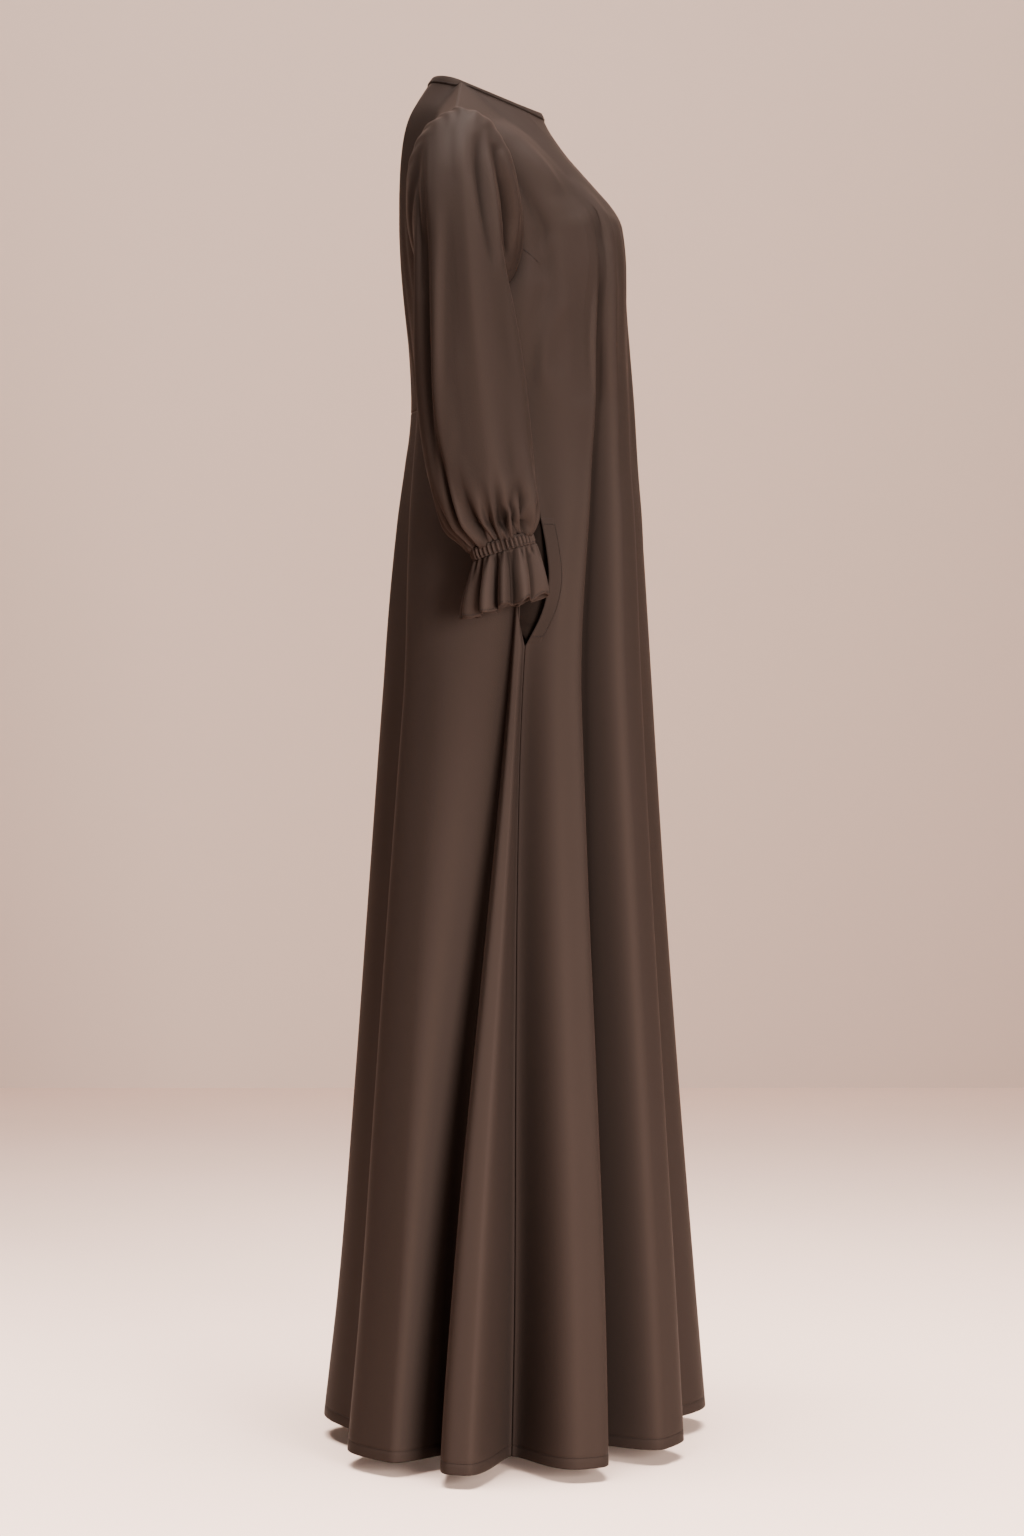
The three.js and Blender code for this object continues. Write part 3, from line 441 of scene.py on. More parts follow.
def press_creases(points, creases, closed=False):
    """Moves cloth out or in along soft creases that fade at their ends, but not the sewn edges."""
    normal = normals_of(points, closed)
    rows, columns = [np.arange(count) for count in points.shape[:2]]
    from_seam = np.clip(rows / EDGE_REACH, 0, 1)[:, None]
    if not closed:
        from_seam = from_seam * np.clip(np.minimum(columns, columns[::-1]) / EDGE_REACH, 0, 1)
    moved = np.zeros(points.shape[:2])
    for crease in creases:
        axes = [1, 2] if crease.seen in ("right", "left") else [0, 2]
        place, line = points[..., axes], np.array(crease.line, float)
        lengths = np.linalg.norm(np.diff(line, axis=0), axis=1)
        best, share = np.full(place.shape[:2], 1e9), np.zeros(place.shape[:2])
        for n, (start, end) in enumerate(zip(line, line[1:])):
            way = (end - start) / lengths[n]
            run = np.clip((place - start) @ way, 0, lengths[n])
            away = np.linalg.norm(place - start - run[..., None] * way, axis=-1)
            nearer = away < best
            best = np.where(nearer, away, best)
            share = np.where(nearer, (run + lengths[:n].sum()) / lengths.sum(), share)
        fade = np.sin(np.pi * share) ** 0.7
        facing = smooth_step(normal @ np.array(SEEN_FROM[crease.seen]), 0.05, 0.5)
        moved += crease.depth * np.exp(-(best / crease.width) ** 2) * fade * facing
    return points + normal * (moved * from_seam)[..., None]


SEAM_ROLL = 1.1
ROLL_LINES = [(1.3, 0.35), (2.6, 0.7)]
BODY_MIDDLE = np.array([0, -55, -120])


def roll_edge(points, side):
    """Turns one edge of a panel in at its seam, with two more lines of points beside it."""
    turns = {"left": 0, "right": 2, "top": 3, "bottom": 1}[side]
    grid = np.rot90(points, -turns)
    edge, beside = grid[:, 0], grid[:, 1]
    step = np.linalg.norm(beside - edge, axis=-1, keepdims=True)
    near, mid = [edge + (beside - edge) * np.minimum(gap / np.maximum(step, 1e-6), most)
                 for gap, most in ROLL_LINES]
    # both panels of a seam turn in to one line, towards the middle of the body
    fall = np.minimum(BODY_MIDDLE[2] - edge[:, 2], 0)
    inward = np.stack([-edge[:, 0], BODY_MIDDLE[1] - edge[:, 1], fall], -1)
    turned = edge + inward / np.linalg.norm(inward, axis=-1, keepdims=True) * SEAM_ROLL
    grid = np.concatenate([turned[:, None], near[:, None], mid[:, None], grid[:, 1:]], 1)
    return np.rot90(grid, turns)


# the crest measure sets where the finish paints highlight on fold crests and shade in their hollows
CREST_SCALE = 26
CREST_ROWS, CREST_COLUMNS = 3, 6


def crest_of(points, normal):
    """How much the cloth stands out (+) or in (-) at each point from the cloth about it, from -1 to 1."""
    crest = np.zeros(points.shape[:2])
    for axis, reach in enumerate((CREST_ROWS, CREST_COLUMNS)):
        before, after = np.roll(points, reach, axis), np.roll(points, -reach, axis)
        gap = np.linalg.norm(after - before, axis=-1) / 2
        bulge = ((points - (before + after) / 2) * normal).sum(-1)
        crest += bulge / np.maximum(gap, 1) ** 2 * CREST_SCALE
    crest[:CREST_ROWS], crest[-CREST_ROWS:] = 0, 0
    crest[:, :CREST_COLUMNS], crest[:, -CREST_COLUMNS:] = 0, 0
    for _ in range(2):
        crest[1:-1] = (crest[:-2] + 2 * crest[1:-1] + crest[2:]) / 4
        crest[:, 1:-1] = (crest[:, :-2] + 2 * crest[:, 1:-1] + crest[:, 2:]) / 4
    return np.clip(crest, -1, 1)


def cloth_mesh(name, points, closed, is_inside_out):
    """A grid of cloth placed at the given points. Its UV map is in metres, across and up the cloth."""
    rows, columns = points.shape[:2]
    normal = normals_of(points, closed)
    crest = crest_of(points, normal)
    if closed:
        points, crest = [np.concatenate([part, part[:, :1]], 1) for part in (points, crest)]
        columns += 1
    if not is_inside_out:
        points, crest = points[:, ::-1], crest[:, ::-1]
    # the grid's rows run upwards, and its columns to the right as its outer face is seen
    points, crest = points[::-1] / 1000, crest[::-1]
    sheet = bmesh.new()
    cut = sheet.loops.layers.uv.new("cut")
    # the crest measure is kept on the mesh for the painted highlight and painted shade of the finish
    stands_out = sheet.verts.layers.float.new("crest")
    bmesh.ops.create_grid(sheet, x_segments=columns - 1, y_segments=rows - 1, size=1)
    up = np.linalg.norm(np.diff(points, axis=0), axis=-1).mean(1)
    up = np.concatenate([[0], np.cumsum(up)])
    across = distances_along(points[0])
    for vertex, place, out in zip(sheet.verts, points.reshape(-1, 3), crest.ravel()):
        vertex.co = place
        vertex[stands_out] = out
    for face in sheet.faces:
        for loop in face.loops:
            row, column = divmod(loop.vert.index, columns)
            loop[cut].uv = across[column], up[row]
    if closed:
        bmesh.ops.remove_doubles(sheet, verts=sheet.verts, dist=1e-6)
    mesh = bpy.data.meshes.new(name)
    sheet.to_mesh(mesh)
    sheet.free()
    mesh.shade_smooth()
    return mesh


def sewn_piece(name, points, material, node, thickness=CLOTH, closed=False, is_inside_out=False):
    """A piece of cloth at a grid of points, in place of its CAD node, with a wall on its inner side."""
    mesh = cloth_mesh(name, points, closed, is_inside_out)
    mesh.materials.append(material)
    piece = bpy.data.objects.new(name, mesh)
    bpy.context.scene.collection.objects.link(piece)
    wall = piece.modifiers.new("cloth", "SOLIDIFY")
    wall.thickness = thickness / 1000
    wall.offset = -1
    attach(piece, "root")
    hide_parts(node)
    return piece


def group_tree(name, inputs, outputs):
    """An empty shader group with the given sockets, and its two end nodes."""
    tree = bpy.data.node_groups.new(name, "ShaderNodeTree")
    for socket, (kind, value) in inputs.items():
        made = tree.interface.new_socket(socket, in_out="INPUT", socket_type=kind)
        made.default_value = value
    for socket, kind in outputs.items():
        tree.interface.new_socket(socket, in_out="OUTPUT", socket_type=kind)
    return tree, tree.nodes.new("NodeGroupInput").outputs, tree.nodes.new("NodeGroupOutput").inputs


def calculated(tree, operation, *values):
    """The result of one step of arithmetic in a finish."""
    node = add_node(tree, "ShaderNodeMath", {"operation": operation})
    for n, value in enumerate(values):
        input_of(node, n, value)
    return node.outputs[0]


# Crepe has a dull, finely pebbled face: its highly twisted yarns pull the weave into tiny grains.
# On the crest of a fold the colour is painted paler, a painted highlight, and where the cloth turns in it
# is painted darker, a painted shade.
CREPE_YARNS_PER_M, CREPE_GRAINS_PER_M = 1900, 760
HIGHLIGHT_AND_CLOUD_LIGHTENS, SHADE_AND_GRAIN_DARKENS = 1.7, 0.45
CREPE_CLOUDS_PER_M = 7


def crepe_group():
    """The weave as a shader group that gives the colour, with painted highlight on fold crests and painted
    shade in their hollows, and the roughness and height of the face.
    """
    tree, given, result = group_tree(
        "crepe_weave",
        {"Dye": ("NodeSocketColor", (0.1, 0.06, 0.05, 1)), "Crest": ("NodeSocketFloat", 0.3),
         "Hollow": ("NodeSocketFloat", 0.3), "Clouding": ("NodeSocketFloat", 0.1)},
        {"Color": "NodeSocketColor", "Roughness": "NodeSocketFloat", "Height": "NodeSocketFloat"})
    cut = add_node(tree, "ShaderNodeUVMap", {"uv_map": "cut"}).outputs[0]
    place = add_node(tree, "ShaderNodeTexCoord").outputs["Object"]
    grains = add_node(tree, "ShaderNodeTexNoise", {"noise_dimensions": "2D"}, Vector=cut,
                      Scale=float(CREPE_GRAINS_PER_M), Detail=2.0).outputs["Fac"]
    turned = add_node(tree, "ShaderNodeMapping", Vector=cut)
    turned.inputs["Scale"].default_value = (CREPE_YARNS_PER_M, CREPE_YARNS_PER_M * 0.4, 1)
    yarns = add_node(tree, "ShaderNodeTexNoise", {"noise_dimensions": "2D"},
                     Vector=turned.outputs[0], Scale=1.0, Detail=1.0).outputs["Fac"]
    clouds = add_node(tree, "ShaderNodeTexNoise", Vector=place, Scale=float(CREPE_CLOUDS_PER_M),
                      Detail=3.0).outputs["Fac"]
    # painted highlight on fold crests and painted shade in their hollows, from the crest measure
    crest = add_node(tree, "ShaderNodeAttribute", {"attribute_name": "crest"}).outputs["Fac"]
    out = calculated(tree, "MAXIMUM", crest, 0.0)
    inward = calculated(tree, "MAXIMUM", calculated(tree, "MULTIPLY", crest, -1.0), 0.0)
    highlight_and_cloud_colour, darker = [
        add_node(tree, "ShaderNodeVectorMath", {"operation": "SCALE"}, Vector=given["Dye"], Scale=times)
        for times in (HIGHLIGHT_AND_CLOUD_LIGHTENS, SHADE_AND_GRAIN_DARKENS)]
    painted_highlight = calculated(tree, "MULTIPLY", out, given["Crest"])
    colour = mixed(tree, painted_highlight, given["Dye"], highlight_and_cloud_colour.outputs[0])
    painted_shade = calculated(tree, "MULTIPLY", inward, given["Hollow"])
    colour = mixed(tree, painted_shade, colour, darker.outputs[0])
    cloud = calculated(tree, "MULTIPLY", calculated(tree, "SUBTRACT", clouds, 0.35), given["Clouding"])
    colour = mixed(tree, cloud, colour, highlight_and_cloud_colour.outputs[0])
    grain = calculated(tree, "ADD", calculated(tree, "MULTIPLY", grains, 0.6),
                       calculated(tree, "MULTIPLY", yarns, 0.4))
    speck = calculated(tree, "MULTIPLY", calculated(tree, "SUBTRACT", 0.5, grain), 0.55)
    colour = mixed(tree, calculated(tree, "MAXIMUM", speck, 0.0), colour, darker.outputs[0])
    rough = calculated(tree, "ADD", calculated(tree, "MULTIPLY", grain, 0.16), 0.5)
    for name, value in (("Color", colour), ("Roughness", rough), ("Height", grain)):
        tree.links.new(value, result[name])
    return tree


CREPE_WEAVE = crepe_group()
CREPE_DYE = (0.0166, 0.0114, 0.0095, 1)
PAINTED_SHEEN_COLOUR = (0.085, 0.055, 0.044, 1)
PAINTED_SHEEN_SHARE, PAINTED_SHEEN_FALL = 0.4, 9.0
CREPE_GLOSS, CREPE_GLOSS_TINT = 0.02, (1.0, 0.6, 0.44, 1)
CREPE_CLOUDING, CREPE_GRAIN_DEPTH = 0.12, 0.0006


def crepe_material(name, shade=1.0, crest=0.0, hollow=0.9, grain=0.25):
    """Crepe of one dye. Each piece has its own shade, the one dye painted up or down for how light falls
    on that piece, its own painted highlight on crests and painted shade in hollows, and its own grain.
    """
    material, tree, output = new_material(name)
    # the shade scales the dye: painted light above 1, painted shade below 1
    dye = tuple(c * shade for c in CREPE_DYE[:3]) + (1,)
    weave = add_node(tree, "ShaderNodeGroup", {"node_tree": CREPE_WEAVE}, Dye=dye, Crest=crest,
                     Hollow=hollow, Clouding=CREPE_CLOUDING)
    bump = add_node(tree, "ShaderNodeBump", Height=weave.outputs["Height"], Strength=grain,
                    Distance=CREPE_GRAIN_DEPTH)
    # a painted sheen: the colour is painted paler where the cloth turns edge on, where its raised fibres
    # would catch the light
    facing = add_node(tree, "ShaderNodeLayerWeight").outputs["Facing"]
    painted_sheen = calculated(tree, "MULTIPLY", calculated(tree, "POWER", facing, PAINTED_SHEEN_FALL), PAINTED_SHEEN_SHARE)
    colour = mixed(tree, painted_sheen, weave.outputs["Color"], PAINTED_SHEEN_COLOUR)
    shader = add_node(tree, "ShaderNodeBsdfPrincipled", Base_Color=colour,
                      Roughness=weave.outputs["Roughness"], Normal=bump.outputs[0],
                      Specular_IOR_Level=CREPE_GLOSS, Specular_Tint=CREPE_GLOSS_TINT)
    tree.links.new(shader.outputs[0], output.inputs[0])
    return material


CREPE = crepe_material("crepe", crest=0.3)

# The soft creases of the front, on the right as in the photograph and a little differently on the left.
FRONT_CREASES = [
    # from the shoulder over the bust, with the hollow that lies under it
    Crease("right", 9.0, 11, [(-44, -24), (-66, -48), (-91, -79), (-112, -104)]),
    Crease("right", -10.0, 15, [(-48, -50), (-66, -92), (-86, -140), (-98, -200), (-100, -300)]),
    Crease("right", -8.0, 18, [(-104, -122), (-124, -160), (-134, -220), (-138, -330)]),
    Crease("right", 6.0, 9, [(-118, -82), (-142, -110), (-158, -144), (-162, -200), (-163, -320)]),
    Crease("right", -3.0, 9, [(-92, -205), (-82, -262), (-78, -318)]),
    Crease("right", 3.0, 10, [(-102, -220), (-96, -262), (-89, -312)]),
    Crease("right", -3.0, 10, [(-117, -232), (-110, -272), (-104, -316)]),
    Crease("right", 2.0, 5, [(-104, -150), (-93, -164), (-91, -182)]),
    Crease("left", 4.0, 17, [(-45, -30), (-68, -60), (-94, -94), (-116, -124)]),
    Crease("left", -4.5, 14, [(-50, -56), (-75, -90), (-100, -118)]),
    Crease("left", -3.5, 10, [(-96, -200), (-87, -256), (-84, -330)]),
    Crease("left", 2.5, 11, [(-107, -214), (-101, -270), (-95, -324)]),
    Crease("left", -2.5, 9, [(-120, -240), (-114, -276), (-108, -306)]),
    Crease("left", 2.0, 5, [(-103, -154), (-94, -168), (-92, -190)]),
    Crease("front", 2.5, 18, [(-92, -30), (-104, -80), (-100, -150)]),
    Crease("front", 2.2, 19, [(90, -34), (107, -84), (101, -140)]),
    Crease("front", -2.0, 16, [(-24, -170), (-28, -260), (-34, -400)]),
    Crease("front", -1.8, 15, [(30, -160), (33, -250), (36, -370)]),
    Crease("front", 1.6, 14, [(6, -220), (4, -330), (-6, -470)]),
]

front_points = whole_panel(FRONT_FOLDS, CENTRE_FRONT, ARMHOLE_FRONT, BUST, FRONT_NECK_DIP)
front_points = press_creases(front_points, FRONT_CREASES)

HEM_GROOVE = 0.5
HEM_ROW = HEM_OFFSETS.index(HEM_DEPTH) - len(HEM_OFFSETS)


def sink_hem(points, normal):
    """Presses the line of the hem's stitches into the cloth."""
    points[HEM_ROW] -= normal[HEM_ROW] * HEM_GROOVE
    return points


front_points = sink_hem(front_points, normals_of(front_points))
front_edges = front_points.copy()
for side in ("left", "right", "top"):
    front_points = roll_edge(front_points, side)
front = sewn_piece("front_panel", front_points, CREPE, "front")


# The back of the bodice. It is cut to the waist and darted flat over the shoulder blades, and its
# lower edge is sewn to the skirt, so a fine seam crosses the back at the waist.
CENTRE_BACK = [
    NECK_BACK, Point(0, 39.3, 18), Point(0, 48, 2), Point(0, 54, -15), Point(0, 59, -45),
    Point(0, 61.5, -95), Point(0, 60.5, -139), Point(0, 57.5, UNDERARM_Z),
]
ARMHOLE_BACK = [
    SHOULDER_TIP, Point(-196, 18, -33), Point(-190, 33, -50), Point(-184, 45, -74),
    Point(-180, 48.5, -105), Point(-179, 47.5, -140), Point(-182, 40, -175), Point(-187, 16, -204),
]
SHOULDER_BLADE = Relief(-100, -150, 80, 110, -8)
BACK_FOLDS = [
    Fold(0, 0, 0, -3, -2, -60, seam=1), Fold(88, 97.5, 0, 1, 3, 57, settles=HEM_Z),
    Fold(88.3, 105, 0, -3, -8, -50, settles=HEM_Z),
    Fold(134, 113, 0, 2, 11, 27), Fold(152, 134, 0, -5, -14, -28), Fold(180, 171, 0, 0, 0, 0),
    Fold(192, 193, 0, -4, -10, -30), Fold(205, 211, 0, 1, 4, 7), Fold(217, 227, 0, -4, -13, -38),
    Fold(229, 241, 0, 2, 10, 28), Fold(240, 252, 0, -4, -9, -48), Fold(249, 261, 0, 1, 4, 50),
    Fold(0, 0, 0, -3, -2, -58, seam=-1),
]
BACK_CREASES = [
    Crease("right", -3.0, 8, [(22, -70), (47, -110), (45, -170), (38, -215)]),
    Crease("right", 2.4, 9, [(34, -230), (44, -290), (40, -330)]),
    Crease("right", -2.4, 10, [(18, -240), (28, -300), (26, -372)]),
    Crease("right", 2.2, 14, [(10, -380), (22, -470), (34, -600)]),
    Crease("left", -2.6, 8, [(24, -74), (46, -116), (46, -166), (36, -208)]),
    Crease("left", 2.2, 9, [(30, -236), (40, -282), (38, -340)]),
    Crease("left", -2.6, 10, [(15, -236), (25, -296), (24, -360)]),
    Crease("left", 2.0, 13, [(8, -390), (18, -480), (30, -580)]),
    # the round of the shoulders
    Crease("back", 8.0, 30, [(-48, 6), (-104, -12), (-154, -36), (-196, -62)]),
    Crease("back", 7.6, 30, [(48, 6), (106, -13), (156, -38), (196, -64)]),
    Crease("back", -2.6, 15, [(-62, -60), (-84, -130), (-92, -230)]),
    Crease("back", 2.0, 14, [(-36, -120), (-48, -220), (-58, -318)]),
    Crease("back", -2.4, 14, [(58, -64), (80, -140), (96, -224)]),
    Crease("back", 2.2, 15, [(34, -130), (44, -210), (62, -312)]),
    Crease("back", -1.8, 13, [(4, -90), (8, -200), (2, -310)]),
    Crease("back", 1.8, 16, [(-20, -360), (-30, -470), (-44, -620)]),
    Crease("back", -2.0, 17, [(70, -350), (84, -450), (92, -560)]),
]

back_points = whole_panel(BACK_FOLDS, CENTRE_BACK, ARMHOLE_BACK, SHOULDER_BLADE, 0)
back_points = press_creases(back_points, BACK_CREASES)
back_points = sink_hem(back_points, normals_of(back_points))
waist_row = UPPER_ROWS * FINE + int(np.argmin(np.abs(LOWER_HEIGHTS - WAIST_Z)))
back_edges = back_points.copy()
bodice_points, skirt_points = back_points[:waist_row + 1], back_points[waist_row:]
for side in ("left", "right", "top", "bottom"):
    bodice_points = roll_edge(bodice_points, side)
for side in ("left", "right", "top"):
    skirt_points = roll_edge(skirt_points, side)
bodice = sewn_piece("back_bodice_panel", bodice_points, CREPE, "back_bodice")


# The back of the skirt. A flared panel cut in one, sewn to the bodice at the waist and to the front
# at the sides, and hung in folds that open towards the hem.
skirt = sewn_piece("back_skirt_panel", skirt_points, CREPE, "back_skirt")


# The sleeves. Each is cut in one with an underarm seam, eased into the armhole with a few soft
# gathers at its head, and full enough to puff over the wrist, where it is gathered into the casing.
Ring = namedtuple("Ring", "out_x out_z in_x in_z back front lean")
SLEEVE = [
    Ring(-226, -34, -202, -224, 47, -62, 0), Ring(-254, -56, -208, -235, 44, -52, 0),
    Ring(-280, -92, -212, -248, 42, -47, 0), Ring(-298, -142, -214, -265, 41.5, -52, 0),
    Ring(-308, -205, -215, -290, 41, -61, 0), Ring(-314, -272, -215, -326, 39.5, -69, 0),
    Ring(-319, -340, -216, -370, 34.5, -75.5, 3), Ring(-323, -398, -218, -412, 27, -81, 6),
    Ring(-326, -440, -222, -444, 19, -87, 10), Ring(-322, -464, -231, -466, 8, -88, 14),
]
WRIST_CENTRE = np.array([-277.5, -48.0, -480.0])
WRIST_RADIUS, WRIST_LEAN = 31.5, 18
WRIST_RING = Ring(-309, -480, -246, -480, -16.5, -79.5, WRIST_LEAN)
SleeveFold = namedtuple("SleeveFold", "at head elbow wrist")
SLEEVE_FOLDS = [
    SleeveFold(-72, 0, 1, 2), SleeveFold(-54, 0, -3, -3), SleeveFold(-37, 1, 2, 3),
    SleeveFold(-14, -1, -1, -2), SleeveFold(14, 1, 0, 3), SleeveFold(36, -1, -1, -3),
    SleeveFold(60, 2, 1, 4), SleeveFold(88, 0, 0, -1), SleeveFold(130, 0, -4, 3),
    SleeveFold(175, 0, 2, -3), SleeveFold(225, 0, -3, 2), SleeveFold(288, 0, 1, 2),
]
SLEEVE_COLUMNS, SLEEVE_ROWS = 288, 104
WRIST_GATHERS, WRIST_GATHER_DEPTH = 34, 1.1
HEAD_GATHERS, HEAD_GATHER_DEPTH, HEAD_STANDS = 26, 0.9, 4.0
PUFF_DEEPEST = 0.93
PuffFold = namedtuple("PuffFold", "at wide depth start")
PUFF_FOLDS = [
    PuffFold(-72, 8, 10, 0.72), PuffFold(-48, 6, 14, 0.66), PuffFold(-25, 8, 15, 0.68),
    PuffFold(-5, 5, 11, 0.78), PuffFold(13, 7, 15, 0.72), PuffFold(30, 5, 11, 0.80),
    PuffFold(47, 7, 15, 0.74), PuffFold(67, 5, 12, 0.80), PuffFold(92, 8, 12, 0.72),
    PuffFold(118, 6, 11, 0.70), PuffFold(143, 7, 10, 0.76), PuffFold(170, 8, 12, 0.69),
    PuffFold(199, 6, 11, 0.75), PuffFold(221, 7, 12, 0.71), PuffFold(248, 6, 10, 0.77),
    PuffFold(270, 7, 11, 0.70),
]
SLEEVE_CREASES = [
    # seen from the right: the long ridge near the back, the soft ridge down the front of the sleeve
    # head, and short diagonal folds where the fullness sinks on the casing
    Crease("right", 2.5, 5, [(16, -140), (17, -230), (18, -320), (15, -400), (7, -446)]),
    Crease("right", -2.7, 9, [(30, -120), (31, -220), (27, -330), (20, -410)]),
    Crease("right", 5.4, 4.5, [(-31, -52), (-33, -85), (-38, -122), (-46, -163), (-52, -194)]),
    Crease("right", -4.8, 6, [(-22, -56), (-26, -100), (-33, -150), (-42, -200)]),
    Crease("right", 5.8, 4.5, [(-47, -72), (-58, -108), (-64, -141), (-61, -168), (-54, -198)]),
    Crease("right", -5.8, 4.5, [(-41, -66), (-50, -110), (-54, -148), (-52, -184)]),
    Crease("right", -0.8, 5, [(4, -44), (4, -80), (2, -120)]),
    Crease("right", -0.8, 5, [(-14, -42), (-15, -76), (-16, -112)]),
    Crease("right", -4.4, 7, [(40, -66), (42, -110), (40, -160), (37, -230)]),
    Crease("right", 2.7, 5, [(29, -60), (32, -110), (33, -170)]),
    Crease("right", -2.4, 10, [(0, -100), (0, -200), (-4, -300)]),
    Crease("right", 1.2, 12, [(-14, -150), (-20, -260), (-26, -360)]),
    Crease("right", -1.5, 10, [(-50, -200), (-58, -280), (-66, -350)]),
    Crease("right", -2.2, 6, [(8, -400), (-2, -438), (-16, -466)]),
    Crease("right", 2.0, 6, [(-6, -392), (-14, -432), (-26, -464)]),
    Crease("right", -2.4, 6, [(-66, -420), (-56, -446), (-44, -468)]),
    Crease("right", 2.2, 6, [(-78, -440), (-66, -456), (-54, -470)]),
    Crease("right", -1.8, 5, [(-26, -420), (-34, -446), (-38, -468)]),
    Crease("back", 2.2, 10, [(-300, -180), (-306, -280), (-304, -400)]),
    Crease("back", -2.4, 10, [(-276, -140), (-284, -260), (-288, -380)]),
    Crease("back", 1.8, 9, [(-258, -230), (-262, -330), (-268, -430)]),
    Crease("front", -2.4, 10, [(-286, -160), (-296, -270), (-300, -390)]),
    Crease("front", 2.2, 9, [(-266, -220), (-272, -330), (-270, -440)]),
    Crease("front", -1.8, 9, [(-244, -270), (-248, -360), (-256, -440)]),
    Crease("left", -2.0, 10, [(-18, -300), (-26, -380), (-36, -450)]),
]


def ring_points(ring, columns):
    """One section of the right sleeve, round from its outside over its front."""
    out, inner = np.array([ring.out_x, 0, ring.out_z]), np.array([ring.in_x, 0, ring.in_z])
    middle = (out + inner) / 2 + np.array([0, (ring.back + ring.front) / 2, 0])
    along = np.array([0, (ring.front - ring.back) / 2, ring.lean / 2])
    turn = np.arange(columns)[:, None] / columns * 2 * math.pi
    return middle + (out - inner) / 2 * np.cos(turn) + along * np.sin(turn)


def armhole_points(columns):
    """The edge of the armhole, from the shoulder tip down the front and up the back."""
    # the rolled edges have two more rows at the shoulder seam
    rows = [0, *range(3, UPPER_ROWS * FINE + 3)]
    down, up = front_points[rows, -1], bodice_points[rows, 0][::-1]
    corners = np.arange(columns) / columns * (2 * UPPER_ROWS + 1)
    down_share = np.clip(corners / UPPER_ROWS, 0, 1)
    up_share = np.clip((corners - UPPER_ROWS) / (UPPER_ROWS + 1), 0, 1)
    on_front = smooth_line(down[::FINE], down_share)
    on_back = smooth_line(up[::FINE], up_share)
    return np.where((corners <= UPPER_ROWS)[:, None], on_front, on_back)


def rings_between(rings, count):
    """Smooth sections through the given ones, evenly numbered along the sleeve."""
    keys = np.arange(len(rings), dtype=float)
    at = np.linspace(0, len(rings) - 1, count)
    lines = np.array(rings).reshape(len(rings), -1).T
    return np.stack([between_values(keys, line, at) for line in lines], -1).reshape(count, -1, 3)


def sleeve_points():
    """The right sleeve as a grid of rings, with its folds, gathers and puff."""
    rings = [armhole_points(SLEEVE_COLUMNS), *[ring_points(ring, SLEEVE_COLUMNS) for ring in SLEEVE],
             ring_points(WRIST_RING, SLEEVE_COLUMNS)]
    points = rings_between(rings, SLEEVE_ROWS)
    share = np.linspace(0, 1, SLEEVE_ROWS)[:, None]
    degrees = np.arange(SLEEVE_COLUMNS) / SLEEVE_COLUMNS * 360
    turn = np.radians(degrees)
    turned = np.where(degrees > SLEEVE_FOLDS[-1].at, degrees - 360, degrees)
    places = np.array([fold.at for fold in SLEEVE_FOLDS], float)
    reach = []
    for fold in SLEEVE_FOLDS:
        rise = (1 - np.cos(np.pi * np.clip(share * 2, 0, 1))) / 2
        fall = (1 - np.cos(np.pi * np.clip(share * 2 - 1, 0, 1))) / 2
        reach.append(fold.head + (fold.elbow - fold.head) * rise + (fold.wrist - fold.elbow) * fall)
    reach = np.concatenate(reach, 1)
    i = np.clip(np.searchsorted(places, turned, "right") - 1, 0, len(places) - 2)
    bend = (1 - np.cos(np.pi * (turned - places[i]) / (places[i + 1] - places[i]))) / 2
    depth = (reach[:, i] * (1 - bend) + reach[:, i + 1] * bend) * smooth_step(share, 0, 0.12)
    uneven = 1 + 0.35 * np.sin(3 * turn + 0.6) + 0.25 * np.sin(7 * turn + 2.1)
    fade = smooth_step(share, 0.86 - 0.03 * np.sin(5 * turn), 0.99) ** 1.4
    pleated = np.cos(WRIST_GATHERS * turn + 0.8 * np.sin(2 * turn))
    depth = depth + WRIST_GATHER_DEPTH * uneven * pleated * fade
    for fold in PUFF_FOLDS:
        away = (degrees - fold.at + 180) % 360 - 180
        let_go = 1 - 0.95 * smooth_step(share, PUFF_DEEPEST, 1)
        sunk = smooth_step(share, fold.start, PUFF_DEEPEST) * let_go
        depth = depth - fold.depth * np.exp(-(away / fold.wide) ** 2) * sunk
    near_top = np.maximum(0, np.cos(turn + 0.1)) ** 2
    gathered = np.cos(HEAD_GATHERS * turn + 0.5 * np.sin(3 * turn))
    depth = depth + HEAD_GATHER_DEPTH * (1 + gathered) * near_top * smooth_step(0.17 - share, 0, 0.16)
    depth = (depth + HEAD_STANDS * smooth_step(0.2 - share, 0, 0.2)) * smooth_step(share, 0, 0.012)
    # from here its columns run from the front to the outside, as the panels' do
    points, depth = points[:, ::-1], depth[:, ::-1]
    points = points + normals_of(points, True) * depth[..., None]
    return press_creases(points, SLEEVE_CREASES, True)


def mirrored(points):
    """The same piece for the wearer's left, with its columns the other way round."""
    return (points * np.array([-1, 1, 1]))[:, ::-1]


# the sleeves' dye is painted a little darker, a painted shade for the light falling on them
SLEEVE_CREPE = crepe_material("sleeve_crepe", shade=0.93, crest=0.3, hollow=0.9)
right_sleeve = sleeve_points()
SIDES = {"right": lambda points: points, "left": mirrored}
for side, turned_over in SIDES.items():
    sleeve = sewn_piece(f"sleeve_panel_{side}", turned_over(right_sleeve), SLEEVE_CREPE,
                        f"sleeve_{side}", closed=True)


